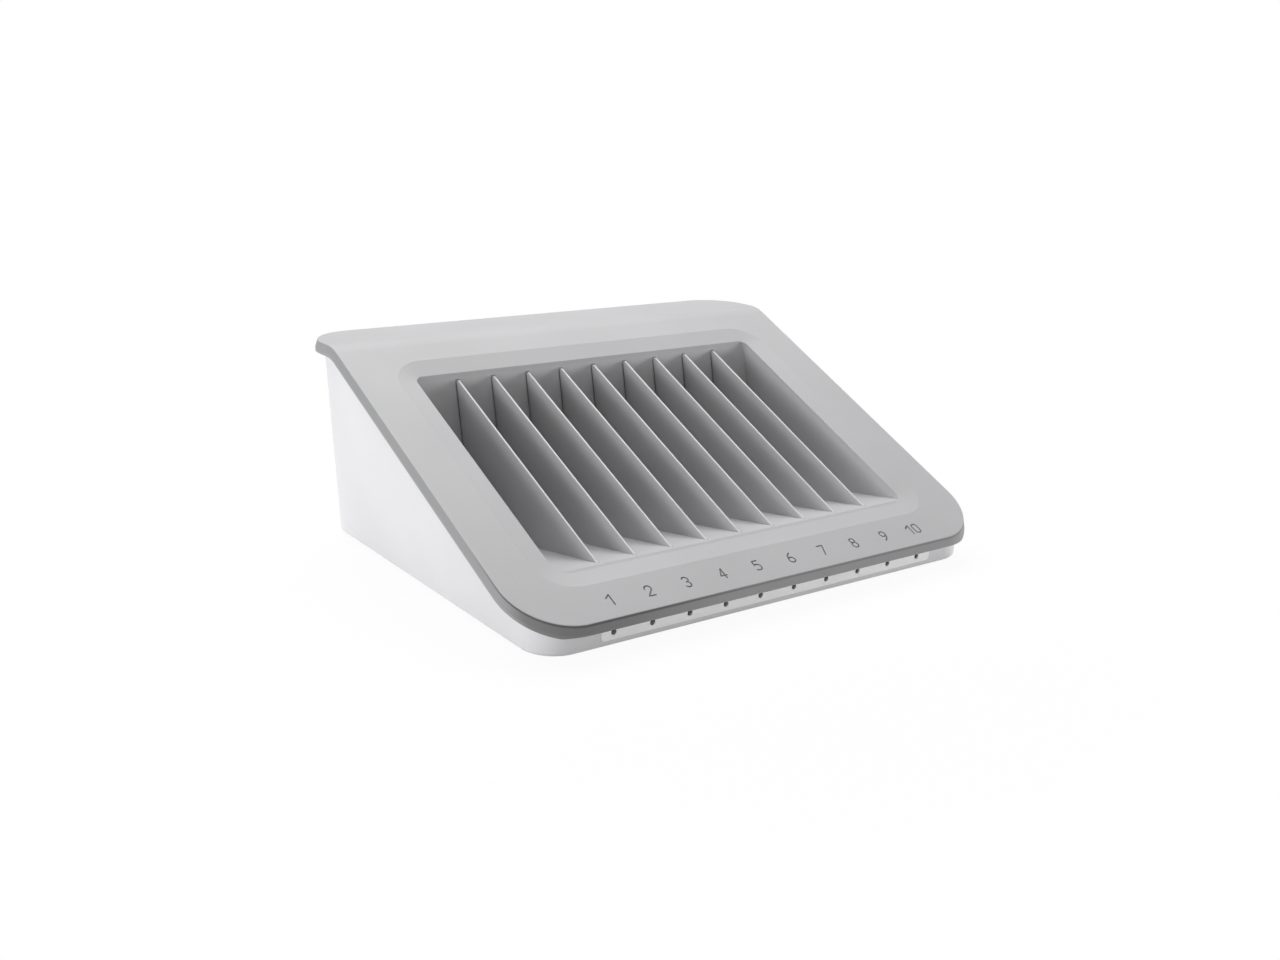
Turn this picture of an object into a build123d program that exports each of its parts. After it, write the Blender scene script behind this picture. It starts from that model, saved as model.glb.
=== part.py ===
from build123d import *
from math import atan2, cos, degrees, hypot, radians, sin, tan
import os

# A desk-top charging station that stores tablets and laptops in ten upright slots.
# Origin: on the resting surface, under the middle of the cover. +X right, +Y to the back, +Z up.
# Lengths are in millimetres and angles in degrees.

# Slots and dividers
slot_count = 10
slot_pitch = 34.0
end_gap = 5.7
divider_thickness = 2.0
divider_edge_radius = 0.9
divider_corner_radius = 3.0
divider_drop = 6.8

# Cover, whose top is a slope that bends into a level ledge at the back
front_height = 25.8
slope_angle = 24.5
side_land = 36.4
front_land = 36.55
rear_land = 30.67
cover_wall = 2.8
skirt_wall = 2.4
skirt_drop = 9.4
front_skirt_height = 7.2
flare_reach = 2.0
flare_drop = 6.5
bend_radius = 40.0
cover_front_corner = 50.0
cover_rear_corner = 42.0
crease_radius = 0.8

# Dished rim round the opening
opening_length = 245.7
opening_front_corner = 13.0
opening_rear_corner = 8.0
bevel_width = 17.4
dish_corner = 30.0
dish_depth = 3.2
seat_depth = 6.0
seat_margin = 5.0

# Numbers pressed into the cover
number_width = 5.6
number_height = 10.0
number_stroke = 1.35
number_gap = 2.2
number_depth = 0.6
number_rise = 18.9
# The strokes of each digit, in shares of its width and height: two points give a line, three an arc
stroke_shares = {
    "0": (
        ((-0.5, 0.225), (0, 0.5), (0.5, 0.225)),
        ((-0.5, 0.225), (-0.5, -0.225)),
        ((0.5, 0.225), (0.5, -0.225)),
        ((-0.5, -0.225), (0, -0.5), (0.5, -0.225)),
    ),
    "1": (((-0.5, 0.2), (0.2, 0.5)), ((0.2, 0.5), (0.2, -0.5))),
    "2": (
        ((-0.5, 0.225), (0.25, 0.463), (0.41, 0.067)),
        ((0.41, 0.067), (-0.5, -0.5)),
        ((-0.5, -0.5), (0.5, -0.5)),
    ),
    "3": (
        ((-0.394, 0.375), (0.394, 0.375), (0, 0)),
        ((0, 0), (0.394, -0.375), (-0.394, -0.375)),
    ),
    "4": (((0.2, 0.5), (0.2, -0.5)), ((0.2, 0.5), (-0.5, -0.2)), ((-0.5, -0.2), (0.5, -0.2))),
    "5": (
        ((0.4, 0.5), (-0.36, 0.5)),
        ((-0.36, 0.5), (-0.42, 0.06)),
        ((-0.42, 0.06), (0.5, -0.2), (-0.45, -0.4)),
    ),
    "6": (
        ((-0.5, -0.225), (0, 0.05), (0.5, -0.225)),
        ((-0.5, -0.225), (0, -0.5), (0.5, -0.225)),
        ((-0.5, -0.225), (-0.287, 0.197), (0.3, 0.5)),
    ),
    "7": (((-0.5, 0.5), (0.5, 0.5)), ((0.5, 0.5), (-0.15, -0.5))),
    "8": (
        ((-0.42, 0.269), (0, 0.5), (0.42, 0.269)),
        ((-0.42, 0.269), (0, 0.037), (0.42, 0.269)),
        ((-0.5, -0.225), (0, 0.05), (0.5, -0.225)),
        ((-0.5, -0.225), (0, -0.5), (0.5, -0.225)),
    ),
    "9": (
        ((0.5, 0.225), (0, -0.05), (-0.5, 0.225)),
        ((0.5, 0.225), (0, 0.5), (-0.5, 0.225)),
        ((0.5, 0.225), (0.287, -0.197), (-0.3, -0.5)),
    ),
}

# Slot tray, a trough whose floor falls to the back, to this rise above the tub's floor
tray_wall = 2.8
flange_thickness = 2.4
trough_rise = 9.84
back_lean = 11.8
floor_start = 2.7
floor_groove_depth = 1.2
floor_groove_clearance = 0.15
back_groove_depth = 1.8
back_groove_clearance = 1.3
divider_back_gap = 0.6
cable_gap_height = 10.0
cable_gap_end = 12.0
heel_depth = 6.0

# Base tub, narrower at the bottom than at the rim
foot_height = 1.8
tub_side_inset = 14.4
tub_front_inset = 9.5
tub_rear_inset = 13.0
tub_wall = 2.5
tub_floor = 3.0
tub_draft = 3.0
tub_edge_radius = 3.5
tub_front_corner = 28.0
tub_rear_corner = 35.0
rim_gap = 0.3

# Rubber feet, pressed into pockets under the tub
foot_radius = 9.0
foot_pocket = 1.0
foot_edge_radius = 0.8
foot_side_inset = 42.0
foot_end_inset = 40.0
foot_clearance = 0.1

# Pillars and screws that hold the cover on the tub
pillar_radius = 6.0
pillar_gap = 0.6
pillar_web = 4.0
pillar_place_shares = (0.1365, 0.4856, 0.874)
pillar_height_share = 0.52
boss_radius = 5.0
cover_screw_radius = 1.75
cover_screw_bite = 10.0
cover_screw_head_radius = 3.5
cover_screw_head_height = 2.6
screw_clearance = 0.05
screw_head_clearance = 0.7
socket_share = 0.55

# Screws that hold the tray's flange to the cover
tray_screw_radius = 1.4
tray_screw_bite = 3.4
tray_screw_head_radius = 2.6
tray_screw_head_height = 1.7
tray_screw_side_reach = 15.3
tray_screw_side_shares = (0.08, 0.45, 0.85)
tray_screw_end_reach = 12.0
tray_screw_end_share = 0.36

# Light bar with one smoked lens for each slot
bar_width = 332.0
bar_height = 9.4
bar_rise = 5.1
bar_corner = 3.0
bar_proud = 0.4
bar_edge_radius = 0.3
bar_clearance = 0.1
bar_flange = 1.5
bar_flange_thickness = 1.2
lens_radius = 2.3
lens_recess = 1.1
lens_rise = 11.0
lens_offset = -2.4
lens_clearance = 0.04
lens_edge_radius = 0.8
peg_radius = 1.0
peg_shoulder_radius = 1.9
peg_length = 2.2
peg_step = 4
chip_side = 3.0
chip_height = 1.2
chip_lens_gap = 0.2
led_board_width = 326.0
led_board_height = 8.0
led_board_thickness = 1.6

# Charging hub on the floor of the rear compartment
hub_supply_gap = 32.0
hub_side_gap = 52.6
hub_depth = 56.0
hub_height = 34.0
hub_wall = 2.2
hub_corner = 4.0
hub_lid_height = 8.0
hub_lid_lap = 0.15
hub_lip_depth = 2.0
hub_lip_thickness = 1.2
hub_edge_radius = 1.2
port_end_gap = 21.0
port_width = 13.2
port_height = 5.8
port_depth = 14.0
port_wall = 0.5
port_tongue = 1.8
port_rise = 20.0
port_clearance = 0.2
board_thickness = 1.6
hub_board_margin = 1.5
hub_post_radius = 2.5
controller_side = 7.0
controller_height = 1.0
controller_setback = 8.0
sink_depth = 14.0
sink_height = 12.0
sink_fin = 1.2
sink_fin_pitch = 4.0

# Power supply beside the hub
supply_width = 84.0
supply_depth = 88.0
supply_height = 38.0
supply_side_gap = 16.6
supply_front_gap = 8.95
supply_rear_gap = 3.5
supply_metal = 1.2
supply_clearance = 0.2
supply_margin = 4.0
supply_post_radius = 3.0
supply_post_height = 4.0
core_width = 30.0
core_depth = 26.0
core_height = 22.0
core_offset = 16.0
winding_margin = 3.0
capacitor_radius = 8.0
capacitor_height = 24.0
capacitor_pitch = 19.0
capacitor_count = 3
capacitor_offset = 22.0
capacitor_edge_radius = 1.0
vent_width = 3.0
vent_length = 26.0
vent_pitch = 8.0
supply_vent_count = 8
supply_vent_setback = 18.0
supply_lead_inset = 10.0

# Ears and screws that hold the hub and the supply on floor pillars
ear_radius = 5.0
ear_thickness = 2.5
ear_pillar_height = 6.0
ear_screw_radius = 1.5
ear_screw_bite = 6.0
ear_screw_length = 5.5
ear_screw_head_radius = 2.8
ear_screw_head_height = 1.8
ear_setback = 12.0

# Power inlet in the rear wall
inlet_switch_gap = 6.5
inlet_rise = 73.0
inlet_flange_width = 50.0
inlet_flange_height = 23.0
inlet_flange_thickness = 2.4
inlet_corner = 4.0
inlet_body_width = 28.0
inlet_body_height = 20.0
inlet_body_depth = 22.0
inlet_socket_width = 24.4
inlet_socket_height = 16.6
inlet_socket_depth = 17.0
inlet_socket_chamfer = 4.0
inlet_clearance = 0.3
inlet_screw_pitch = 40.0
inlet_screw_radius = 1.5
inlet_screw_head_radius = 2.8
inlet_screw_head_height = 1.8
inlet_screw_length = 6.0
blade_width = 2.0
blade_height = 4.0
blade_pitch = 14.0
blade_reach = 13.0
blade_tail = 8.0
earth_rise = 4.0

# Rocker switch beside the inlet
switch_door_gap = 15.5
bezel_width = 21.0
bezel_height = 25.0
bezel_thickness = 1.6
bezel_corner = 1.5
switch_body_width = 18.0
switch_body_height = 22.0
switch_body_depth = 16.0
rocker_width = 12.0
rocker_length = 16.0
rocker_valley = 2.4
rocker_edge = 2.2
rocker_belly = 3.4
rocker_tilt = 10.0
rocker_proud = 0.3
rocker_side_gap = 0.35
rocker_end_gap = 0.4
rocker_pin_radius = 1.0
rocker_pin_bite = 1.6
running_clearance = 0.05
fixed_clearance = 0.01
switch_tab_width = 4.8
switch_tab_thickness = 0.8
switch_tab_length = 8.0
switch_tab_pitch = 9.0

# Rear door, which swings down about pins at its lower edge
door_hub_margin = 2.0
door_height = 104.0
door_rise = 16.0
door_thickness = 2.5
door_corner = 6.0
door_gap = 0.4
door_top_gap = 0.6
door_band_height = 7.0
door_pin_radius = 1.2
door_pin_length = 16.0
door_pin_bite = 6.0
door_boss_width = 8.0
door_boss_height = 8.0
door_boss_depth = 5.6
lip_width = 44.0
lip_height = 3.0
lip_reach = 5.0
lip_edge_radius = 1.0
snap_width = 16.0
snap_height = 0.35
snap_share = 0.36
door_vent_rows = 2
door_vent_columns = 16
door_vent_row_pitch = 38.0
door_vent_column_pitch = 12.0

# Cable comb on the back of the tray
comb_height = 13.0
comb_depth = 8.0
comb_rise = 72.0
comb_end_margin = 12.0
comb_notch_radius = 1.9
comb_screw_radius = 1.4
comb_screw_bite = 2.2
comb_screw_length = 2.0
comb_screw_head_radius = 2.6
comb_screw_head_height = 1.6

# Leads that stay inside
mains_lead_radius = 1.3
mains_lead_bend = 6.0
lead_reach = 14.0
dc_lead_radius = 2.2
led_lead_radius = 1.5
led_lead_bend = 14.0
led_lead_wall_gap = 23.6
led_lead_rise = 4.3
led_lead_end_x = 148.0
led_lead_turn = 50.0
led_lead_end_run = 30.0
clip_length = 8.0
clip_wall = 1.8
clip_clearance = 0.05
clip_shares = (0.15, 0.5, 0.85)

# One overrun serves every cut
overrun = 20.0

# Worked-out sizes and places
slope_sin = sin(radians(slope_angle))
slope_cos = cos(radians(slope_angle))
slope_tan = tan(radians(slope_angle))
draft_tan = tan(radians(tub_draft))
opening_width = slot_count * slot_pitch + 2 * end_gap
cover_width = opening_width + 2 * (bevel_width + side_land)
opening_front = front_land + bevel_width
opening_back = opening_front + opening_length
opening_middle = (opening_front + opening_back) / 2
slope_length = opening_back + bevel_width + rear_land
total_height = front_height + slope_length * slope_sin
base_z = foot_height
floor_z = base_z + tub_floor
lean_tan = tan(radians(back_lean))
tray_back_y = opening_back * slope_cos + dish_depth * slope_sin
tray_back_z = front_height + opening_back * slope_sin - dish_depth * slope_cos
hub_front = (
    tray_back_y
    - (tray_back_z - floor_z - supply_height) * lean_tan
    + tray_wall / cos(radians(back_lean))
    + supply_front_gap
)
compartment_back = hub_front + supply_depth + 2 * ear_radius + supply_rear_gap
cover_depth = compartment_back + tub_wall + tub_rear_inset
front_y = -cover_depth / 2
back_y = cover_depth / 2
skirt_front_z = front_height - front_skirt_height
dish_width = opening_width + 2 * bevel_width
dish_length = opening_length + 2 * bevel_width
seat_width = dish_width + 2 * seat_margin
seat_length = dish_length + 2 * seat_margin
tub_width = cover_width - 2 * tub_side_inset
tub_front = front_y + tub_front_inset
tub_rear = back_y - tub_rear_inset
wall_normal = tub_wall * cos(radians(tub_draft))
pillar_x = tub_width / 2 - tub_wall - pillar_gap - pillar_radius
side_wall = tub_width / 2 - tub_wall
supply_left = supply_side_gap - side_wall
supply_x = supply_left + supply_width / 2
hub_left = supply_left + supply_width + hub_supply_gap
hub_right = side_wall - hub_side_gap
hub_width = hub_right - hub_left
hub_middle_x = (hub_left + hub_right) / 2
hub_y = front_y + hub_front + hub_depth / 2
port_pitch = (hub_width - 2 * port_end_gap) / (slot_count - 1)
door_width = hub_width + 2 * door_hub_margin
door_x = hub_middle_x
switch_x = door_x - door_width / 2 - switch_door_gap - bezel_width / 2
inlet_x = switch_x - bezel_width / 2 - inlet_switch_gap - inlet_flange_width / 2
led_lead_x = side_wall - led_lead_wall_gap
supply_y = front_y + hub_front + supply_depth / 2
divider_count = slot_count - 1

os.makedirs("parts", exist_ok=True)

slope_plane = Plane(origin=(0, front_y, front_height), x_dir=(1, 0, 0), z_dir=(0, -slope_sin, slope_cos))
front_wall = Plane(
    origin=(0, tub_front, base_z),
    x_dir=(1, 0, 0),
    z_dir=(0, -cos(radians(tub_draft)), -sin(radians(tub_draft))),
)
rear_wall = Plane(
    origin=(0, tub_rear, base_z),
    x_dir=(-1, 0, 0),
    z_dir=(0, cos(radians(tub_draft)), -sin(radians(tub_draft))),
)
slope_axis = Axis((0, 0, 0), slope_plane.y_dir)
rear_axis = Axis((0, 0, 0), rear_wall.z_dir)


# Shared geometry


def slot_x(i):
    """X of the middle of slot i, counted from 0 at the left."""
    return (i - (slot_count - 1) / 2) * slot_pitch


def divider_x(i):
    """X of divider i, counted from 0 at the left, midway between two slots."""
    return slot_x(i) + slot_pitch / 2


def on_slope(along, above):
    """Y and Z of a point so far up the slope from its front edge and so far above it."""
    return (
        front_y + along * slope_cos - above * slope_sin,
        front_height + along * slope_sin + above * slope_cos,
    )


def meeting(first, first_angle, second, second_angle):
    """Y and Z where two lines meet, each given by a point and an angle above the +Y direction."""
    ay, az = cos(radians(first_angle)), sin(radians(first_angle))
    by, bz = cos(radians(second_angle)), sin(radians(second_angle))
    gap_y, gap_z = second[0] - first[0], second[1] - first[1]
    reach = (gap_y * bz - gap_z * by) / (ay * bz - az * by)
    return first[0] + reach * ay, first[1] + reach * az


def back_line(setback):
    """A point and the angle of the tray's back wall, moved backwards by setback."""
    y, z = on_slope(opening_back, -dish_depth)
    lean = radians(back_lean)
    return (y + setback * cos(lean), z - setback * sin(lean)), 90 - back_lean


def floor_line(drop):
    """A point and the angle of the tray floor's line, lowered by drop."""
    y, z = on_slope(opening_front + floor_start, -dish_depth)
    bottom_y, bottom_z = meeting((0, floor_z + trough_rise), 0, *back_line(0))
    fall = atan2(z - bottom_z, bottom_y - y)
    return (y - drop * sin(fall), z - drop * cos(fall)), -degrees(fall)


def trough_bottom(growth):
    """Y and Z of the bottom of the trough, with floor and back wall moved out by growth."""
    return meeting(*floor_line(growth), *back_line(growth))


def plan_outline(width, front, rear, front_corner, rear_corner):
    """A flat outline with its own corner radius at the front and at the back."""
    with BuildSketch() as plan:
        with Locations((0, (front + rear) / 2)):
            Rectangle(width, rear - front)
        fillet(plan.vertices().group_by(Axis.Y)[0], front_corner)
        fillet(plan.vertices().group_by(Axis.Y)[-1], rear_corner)
    return plan.sketch


def opening_outline(growth):
    """The outline of the opening, grown on all sides, with distances up the slope as Y."""
    return plan_outline(
        opening_width + 2 * growth,
        opening_front - growth,
        opening_back + growth,
        opening_front_corner + growth,
        opening_rear_corner + growth,
    )


def roof_section(slope_down, ledge_down, bend, low):
    """The side view of all that lies under the roof line, lowered by these vertical drops."""
    slope_z = front_height - slope_down
    ledge_z = total_height - ledge_down
    turn_y = front_y + (ledge_z - slope_z) / slope_tan
    front = front_y - overrun
    back = back_y + overrun
    with BuildSketch() as section:
        with BuildLine() as outline:
            Polyline(
                (front, low),
                (front, slope_z - overrun * slope_tan),
                (turn_y, ledge_z),
                (back, ledge_z),
                (back, low),
                close=True,
            )
        make_face()
        fillet(section.vertices().sort_by_distance((turn_y, ledge_z))[0], bend)
    return section.sketch


def tub_form(inset, z, edge):
    """The tapered body of the tub, brought in by inset, with its bottom edge rounded."""
    grown = (z - base_z) * draft_tan - inset
    with BuildPart() as form:
        with BuildSketch(Plane.XY.offset(z)):
            add(
                plan_outline(
                    tub_width + 2 * grown,
                    tub_front - grown,
                    tub_rear + grown,
                    tub_front_corner + grown,
                    tub_rear_corner + grown,
                )
            )
        extrude(amount=total_height, taper=-tub_draft)
        fillet(form.edges().group_by(Axis.Z)[0], edge)
    return form.part


def under_roof(slope_down, ledge_down, bend):
    """A block of all that lies under the lowered roof line, wider than the cover."""
    with BuildPart() as block:
        with BuildSketch(Plane.YZ.offset(-cover_width)):
            add(roof_section(slope_down, ledge_down, bend, -overrun))
        extrude(amount=2 * cover_width)
    return block.part


def trough(growth, top):
    """The trough that the slots share, grown on all sides, up to so far under the slope."""
    bottom = trough_bottom(growth)
    floor_point, floor_angle = floor_line(growth)
    back_point, back_angle = back_line(growth)
    reach = opening_length
    front_end = (
        floor_point[0] - reach * cos(radians(floor_angle)),
        floor_point[1] - reach * sin(radians(floor_angle)),
    )
    back_end = (
        back_point[0] + reach * cos(radians(back_angle)),
        back_point[1] + reach * sin(radians(back_angle)),
    )
    with BuildPart() as space:
        with BuildSketch(slope_plane.offset(-top)):
            add(opening_outline(growth))
        extrude(amount=-opening_length)
        with BuildSketch(Plane.YZ.offset(-opening_width)):
            with BuildLine():
                Polyline(front_end, bottom, back_end, close=True)
            make_face()
        extrude(amount=2 * opening_width, mode=Mode.INTERSECT)
    return space.part


def screw(head_radius, head_height, shank_radius, shank_length):
    """A pan screw whose head sits on the XY plane, with its shank pointing down."""
    with BuildPart() as one:
        Cylinder(head_radius, head_height, align=(Align.CENTER, Align.CENTER, Align.MIN))
        Cylinder(shank_radius, shank_length, align=(Align.CENTER, Align.CENTER, Align.MAX))
        with BuildSketch(Plane.XY.offset(head_height)):
            RegularPolygon(head_radius * socket_share, 6)
        extrude(amount=-head_height / 2, mode=Mode.SUBTRACT)
        fillet(one.faces().sort_by(Axis.Z)[-1].outer_wire().edges(), head_height / 4)
    return one.part


def group(label, places, piece):
    """One labelled part of separate copies of a piece, each moved to its place."""
    with BuildPart() as many:
        with Locations(*places):
            add(piece)
    many.part.label = label
    return many.part


def tube(points, bend, radius):
    """A round lead along straight runs that are joined by arcs."""
    with BuildPart() as lead:
        with BuildLine() as route:
            if len(points) > 2:
                FilletPolyline(*points, radius=bend)
            else:
                Line(*points)
        with BuildSketch(Plane(origin=route.line @ 0, z_dir=route.line % 0)):
            Circle(radius)
        sweep()
    return lead.part


def seat_places():
    """Where the tray's flange is screwed up to the cover, as X and distance up the slope."""
    side_x = opening_width / 2 + tray_screw_side_reach
    end_x = opening_width * tray_screw_end_share
    sides = [
        (x, opening_front + opening_length * share)
        for share in tray_screw_side_shares
        for x in (-side_x, side_x)
    ]
    ends = [
        (x, along)
        for x in (-end_x, end_x)
        for along in (opening_front - tray_screw_end_reach, opening_back + tray_screw_end_reach)
    ]
    return sides + ends


def pillar_list():
    """X, Y and seat height of each pillar that carries the cover, a share of the roof's height there."""
    places = []
    for share in pillar_place_shares:
        away = share * cover_depth
        roof = min(total_height, front_height + away * slope_tan)
        places += [(x, front_y + away, pillar_height_share * roof) for x in (-pillar_x, pillar_x)]
    return places


def ear_list():
    """X and Y of the ears of the hub and of the supply."""
    hub_ear = hub_width / 2 + ear_radius
    hub_ears = [
        (hub_middle_x + side * hub_ear, hub_y + end * (hub_depth / 2 - ear_setback))
        for side in (-1, 1)
        for end in (-1, 1)
    ]
    supply_ears = [
        (
            supply_x + side * (supply_width / 2 - ear_setback),
            supply_y + end * (supply_depth / 2 + ear_radius),
        )
        for side in (-1, 1)
        for end in (-1, 1)
    ]
    return hub_ears, supply_ears


hub_ears, supply_ears = ear_list()
ear_z = floor_z + ear_pillar_height

# Base tub

foot_places = [
    (side * (tub_width / 2 - foot_side_inset), y)
    for y in (tub_front + foot_end_inset, tub_rear - foot_end_inset)
    for side in (-1, 1)
]
foot_names = ("foot_front_left", "foot_front_right", "foot_rear_left", "foot_rear_right")
tub_outside = tub_form(0, base_z, tub_edge_radius)
tub_inside = tub_form(tub_wall, floor_z, tub_edge_radius - tub_wall)
rim_drop = cover_wall + rim_gap
tub_roof = under_roof(rim_drop / slope_cos, rim_drop, bend_radius - rim_drop)
door_side = door_width / 2 + door_gap
hinge_point = rear_wall.from_local_coords((0, door_rise, -door_thickness))
hinge_place = (hinge_point.Y, hinge_point.Z)
inlet_screw_places = [(-inlet_x + side * inlet_screw_pitch / 2, inlet_rise) for side in (-1, 1)]

with BuildPart() as base_tub:
    add(tub_outside)
    add(tub_inside, mode=Mode.SUBTRACT)
    # Pillars for the cover's screws, and low ones for the hub and the supply
    for x, y, seat in pillar_list():
        with BuildSketch(Plane.XY.offset(base_z + tub_floor / 2)):
            with Locations((x, y)):
                Circle(pillar_radius)
        extrude(amount=seat - base_z - tub_floor / 2)
    with BuildSketch(Plane.XY.offset(base_z + tub_floor / 2)):
        with Locations(*hub_ears, *supply_ears):
            Circle(ear_radius)
    extrude(amount=ear_z - base_z - tub_floor / 2)
    # Hinge bosses beside the door
    with BuildSketch(rear_wall.offset(-wall_normal)):
        for side in (-1, 1):
            with Locations((-door_x + side * (door_side + door_boss_width / 2), door_rise)):
                Rectangle(door_boss_width, door_boss_height)
    extrude(amount=-(door_boss_depth - wall_normal))
    add(tub_roof, mode=Mode.INTERSECT)
    # Screw holes with deep head recesses from below
    for x, y, seat in pillar_list():
        with Locations((x, y, seat)):
            Hole(cover_screw_radius + screw_clearance, depth=pillar_web)
        with Locations((x, y, seat - pillar_web)):
            Hole(cover_screw_head_radius + screw_head_clearance, depth=seat)
    with Locations(*[(x, y, ear_z) for x, y in hub_ears + supply_ears]):
        Hole(ear_screw_radius + screw_clearance, depth=ear_screw_bite)
    # Foot pockets
    with BuildSketch(Plane.XY.offset(base_z)):
        with Locations(*foot_places):
            Circle(foot_radius + foot_clearance)
    extrude(amount=foot_pocket, mode=Mode.SUBTRACT)
    # Window for the light bar
    with BuildSketch(front_wall):
        with Locations((0, bar_rise + bar_height / 2)):
            RectangleRounded(
                bar_width + 2 * bar_clearance, bar_height + 2 * bar_clearance, bar_corner + bar_clearance
            )
    extrude(amount=wall_normal + bar_proud, both=True, mode=Mode.SUBTRACT)
    # Openings for the inlet, the switch and the door
    with BuildSketch(rear_wall):
        with Locations((-inlet_x, inlet_rise)):
            Rectangle(inlet_body_width + 2 * inlet_clearance, inlet_body_height + 2 * inlet_clearance)
        with Locations((-switch_x, inlet_rise)):
            Rectangle(switch_body_width + 2 * inlet_clearance, switch_body_height + 2 * inlet_clearance)
        with Locations(*inlet_screw_places):
            Circle(inlet_screw_radius + screw_clearance)
    extrude(amount=wall_normal + overrun / 4, both=True, mode=Mode.SUBTRACT)
    with BuildSketch(rear_wall):
        low = door_rise - door_thickness - door_gap
        high = door_rise + door_height + door_top_gap
        with Locations((-door_x, (low + high) / 2)):
            Rectangle(2 * door_side, high - low)
    extrude(amount=wall_normal + overrun / 4, both=True, mode=Mode.SUBTRACT)
    with BuildSketch(Plane.YZ.offset(door_x - door_side - door_boss_width)):
        with Locations(hinge_place):
            Circle(door_pin_radius + running_clearance)
    extrude(amount=2 * (door_side + door_boss_width), mode=Mode.SUBTRACT)
base_tub.part.label = "base_tub"
export_step(base_tub.part, "parts/base_tub.step")

# Rubber feet

for name, (x, y) in zip(foot_names, foot_places):
    with BuildPart() as foot:
        with BuildSketch():
            with Locations((x, y)):
                Circle(foot_radius)
        extrude(amount=foot_height + foot_pocket)
        fillet(foot.edges().group_by(Axis.Z)[0], foot_edge_radius)
    foot.part.label = name
    export_step(foot.part, f"parts/{name}.step")

# Top cover


def cover_form(inset, roof, reach, drop, low):
    """The cover's outside or hollow: a plan outline under a roof, whose upper edge is cut back to a flare."""
    with BuildPart() as form:
        with BuildSketch(Plane.XY.offset(low)):
            add(
                plan_outline(
                    cover_width - 2 * inset,
                    front_y + inset,
                    back_y - inset,
                    cover_front_corner - inset,
                    cover_rear_corner - inset,
                )
            )
        extrude(amount=total_height + overrun - low)
        add(roof, mode=Mode.INTERSECT)
        top = form.faces().filter_by(lambda face: face.normal_at().Z > slope_cos)
        level = top.sort_by(Axis.Y)[-1]
        rear_edge = level.edges().sort_by(Axis.Y)[-1]
        chamfer(rear_edge, length=reach, length2=drop, reference=level)
    return form.part


# The hollow's flare leaves the skirt's thickness everywhere between it and the outside
flare_slant = hypot(flare_reach, flare_drop)
flare_area = flare_reach * flare_drop + skirt_wall * flare_slant
hollow_reach = (flare_area - flare_reach * cover_wall) / flare_drop - skirt_wall
hollow_drop = (flare_area - flare_drop * skirt_wall) / flare_reach - cover_wall
cover_outside = cover_form(0, under_roof(0, 0, bend_radius), flare_reach, flare_drop, 0)
cover_hollow = cover_form(
    skirt_wall,
    under_roof(cover_wall / slope_cos, cover_wall, bend_radius - cover_wall),
    hollow_reach,
    hollow_drop,
    -overrun,
)

with BuildPart() as below_skirt:
    with BuildSketch(Plane.YZ.offset(-cover_width)):
        add(roof_section(skirt_drop, skirt_drop, bend_radius - skirt_drop, -overrun))
        with Locations((front_y, skirt_front_z)):
            Rectangle(2 * overrun, 2 * overrun, align=(Align.CENTER, Align.MAX), mode=Mode.ADD)
    extrude(amount=2 * cover_width)

# The number of each slot, pressed into the land in front of the rim
with BuildPart() as number_cuts:
    with BuildSketch(slope_plane):
        for i in range(slot_count):
            digits = str(i + 1)
            for place, digit in enumerate(digits):
                shift = (place - (len(digits) - 1) / 2) * (number_width + number_gap)
                for stroke in stroke_shares[digit]:
                    points = [
                        Vector(
                            slot_x(i) + shift + x * number_width, number_rise + y * number_height
                        )
                        for x, y in stroke
                    ]
                    if len(points) > 2:
                        SlotArc(Edge.make_three_point_arc(*points), number_stroke)
                    else:
                        run = points[1] - points[0]
                        with Locations((points[0] + points[1]) / 2):
                            SlotCenterToCenter(
                                run.length, number_stroke, rotation=degrees(atan2(run.Y, run.X))
                            )
    extrude(amount=-number_depth)

trough_space = trough(0, dish_depth)

with BuildPart() as top_cover:
    add(cover_outside)
    roof_faces = top_cover.faces().filter_by(lambda face: face.normal_at().Z > slope_sin)
    roof_edges = [edge for face in roof_faces for edge in face.edges()]
    crease = [edge for edge in roof_edges if sum(edge.is_same(other) for other in roof_edges) == 1]
    fillet(crease, crease_radius)
    add(below_skirt.part, mode=Mode.SUBTRACT)
    add(cover_hollow, mode=Mode.SUBTRACT)
    # Thick seat under the rim for the tray's flange
    with BuildSketch(slope_plane.offset(-seat_depth)):
        with Locations((0, opening_middle)):
            RectangleRounded(seat_width, seat_length, dish_corner + seat_margin)
    extrude(amount=seat_depth - cover_wall / 2)
    # Bosses for the screws from below
    for x, y, seat in pillar_list():
        with BuildSketch(Plane.XY.offset(seat)):
            with Locations((x, y)):
                Circle(boss_radius)
        extrude(until=Until.NEXT)
        with Locations((x, y, seat)):
            Hole(cover_screw_radius + screw_clearance, depth=cover_screw_bite + screw_head_clearance)
    # Dished rim and the opening
    with BuildSketch(slope_plane):
        with Locations((0, opening_middle)):
            RectangleRounded(dish_width, dish_length, dish_corner)
    with BuildSketch(slope_plane.offset(-dish_depth)):
        add(opening_outline(0))
    loft(mode=Mode.SUBTRACT)
    add(trough_space, mode=Mode.SUBTRACT)
    # Holes for the flange screws
    with BuildSketch(slope_plane.offset(-seat_depth)):
        with Locations(*seat_places()):
            Circle(tray_screw_radius + screw_clearance)
    extrude(amount=tray_screw_bite + screw_clearance, mode=Mode.SUBTRACT)
    add(number_cuts.part, mode=Mode.SUBTRACT)
top_cover.part.label = "top_cover"
export_step(top_cover.part, "parts/top_cover.step")

# Slot tray

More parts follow.
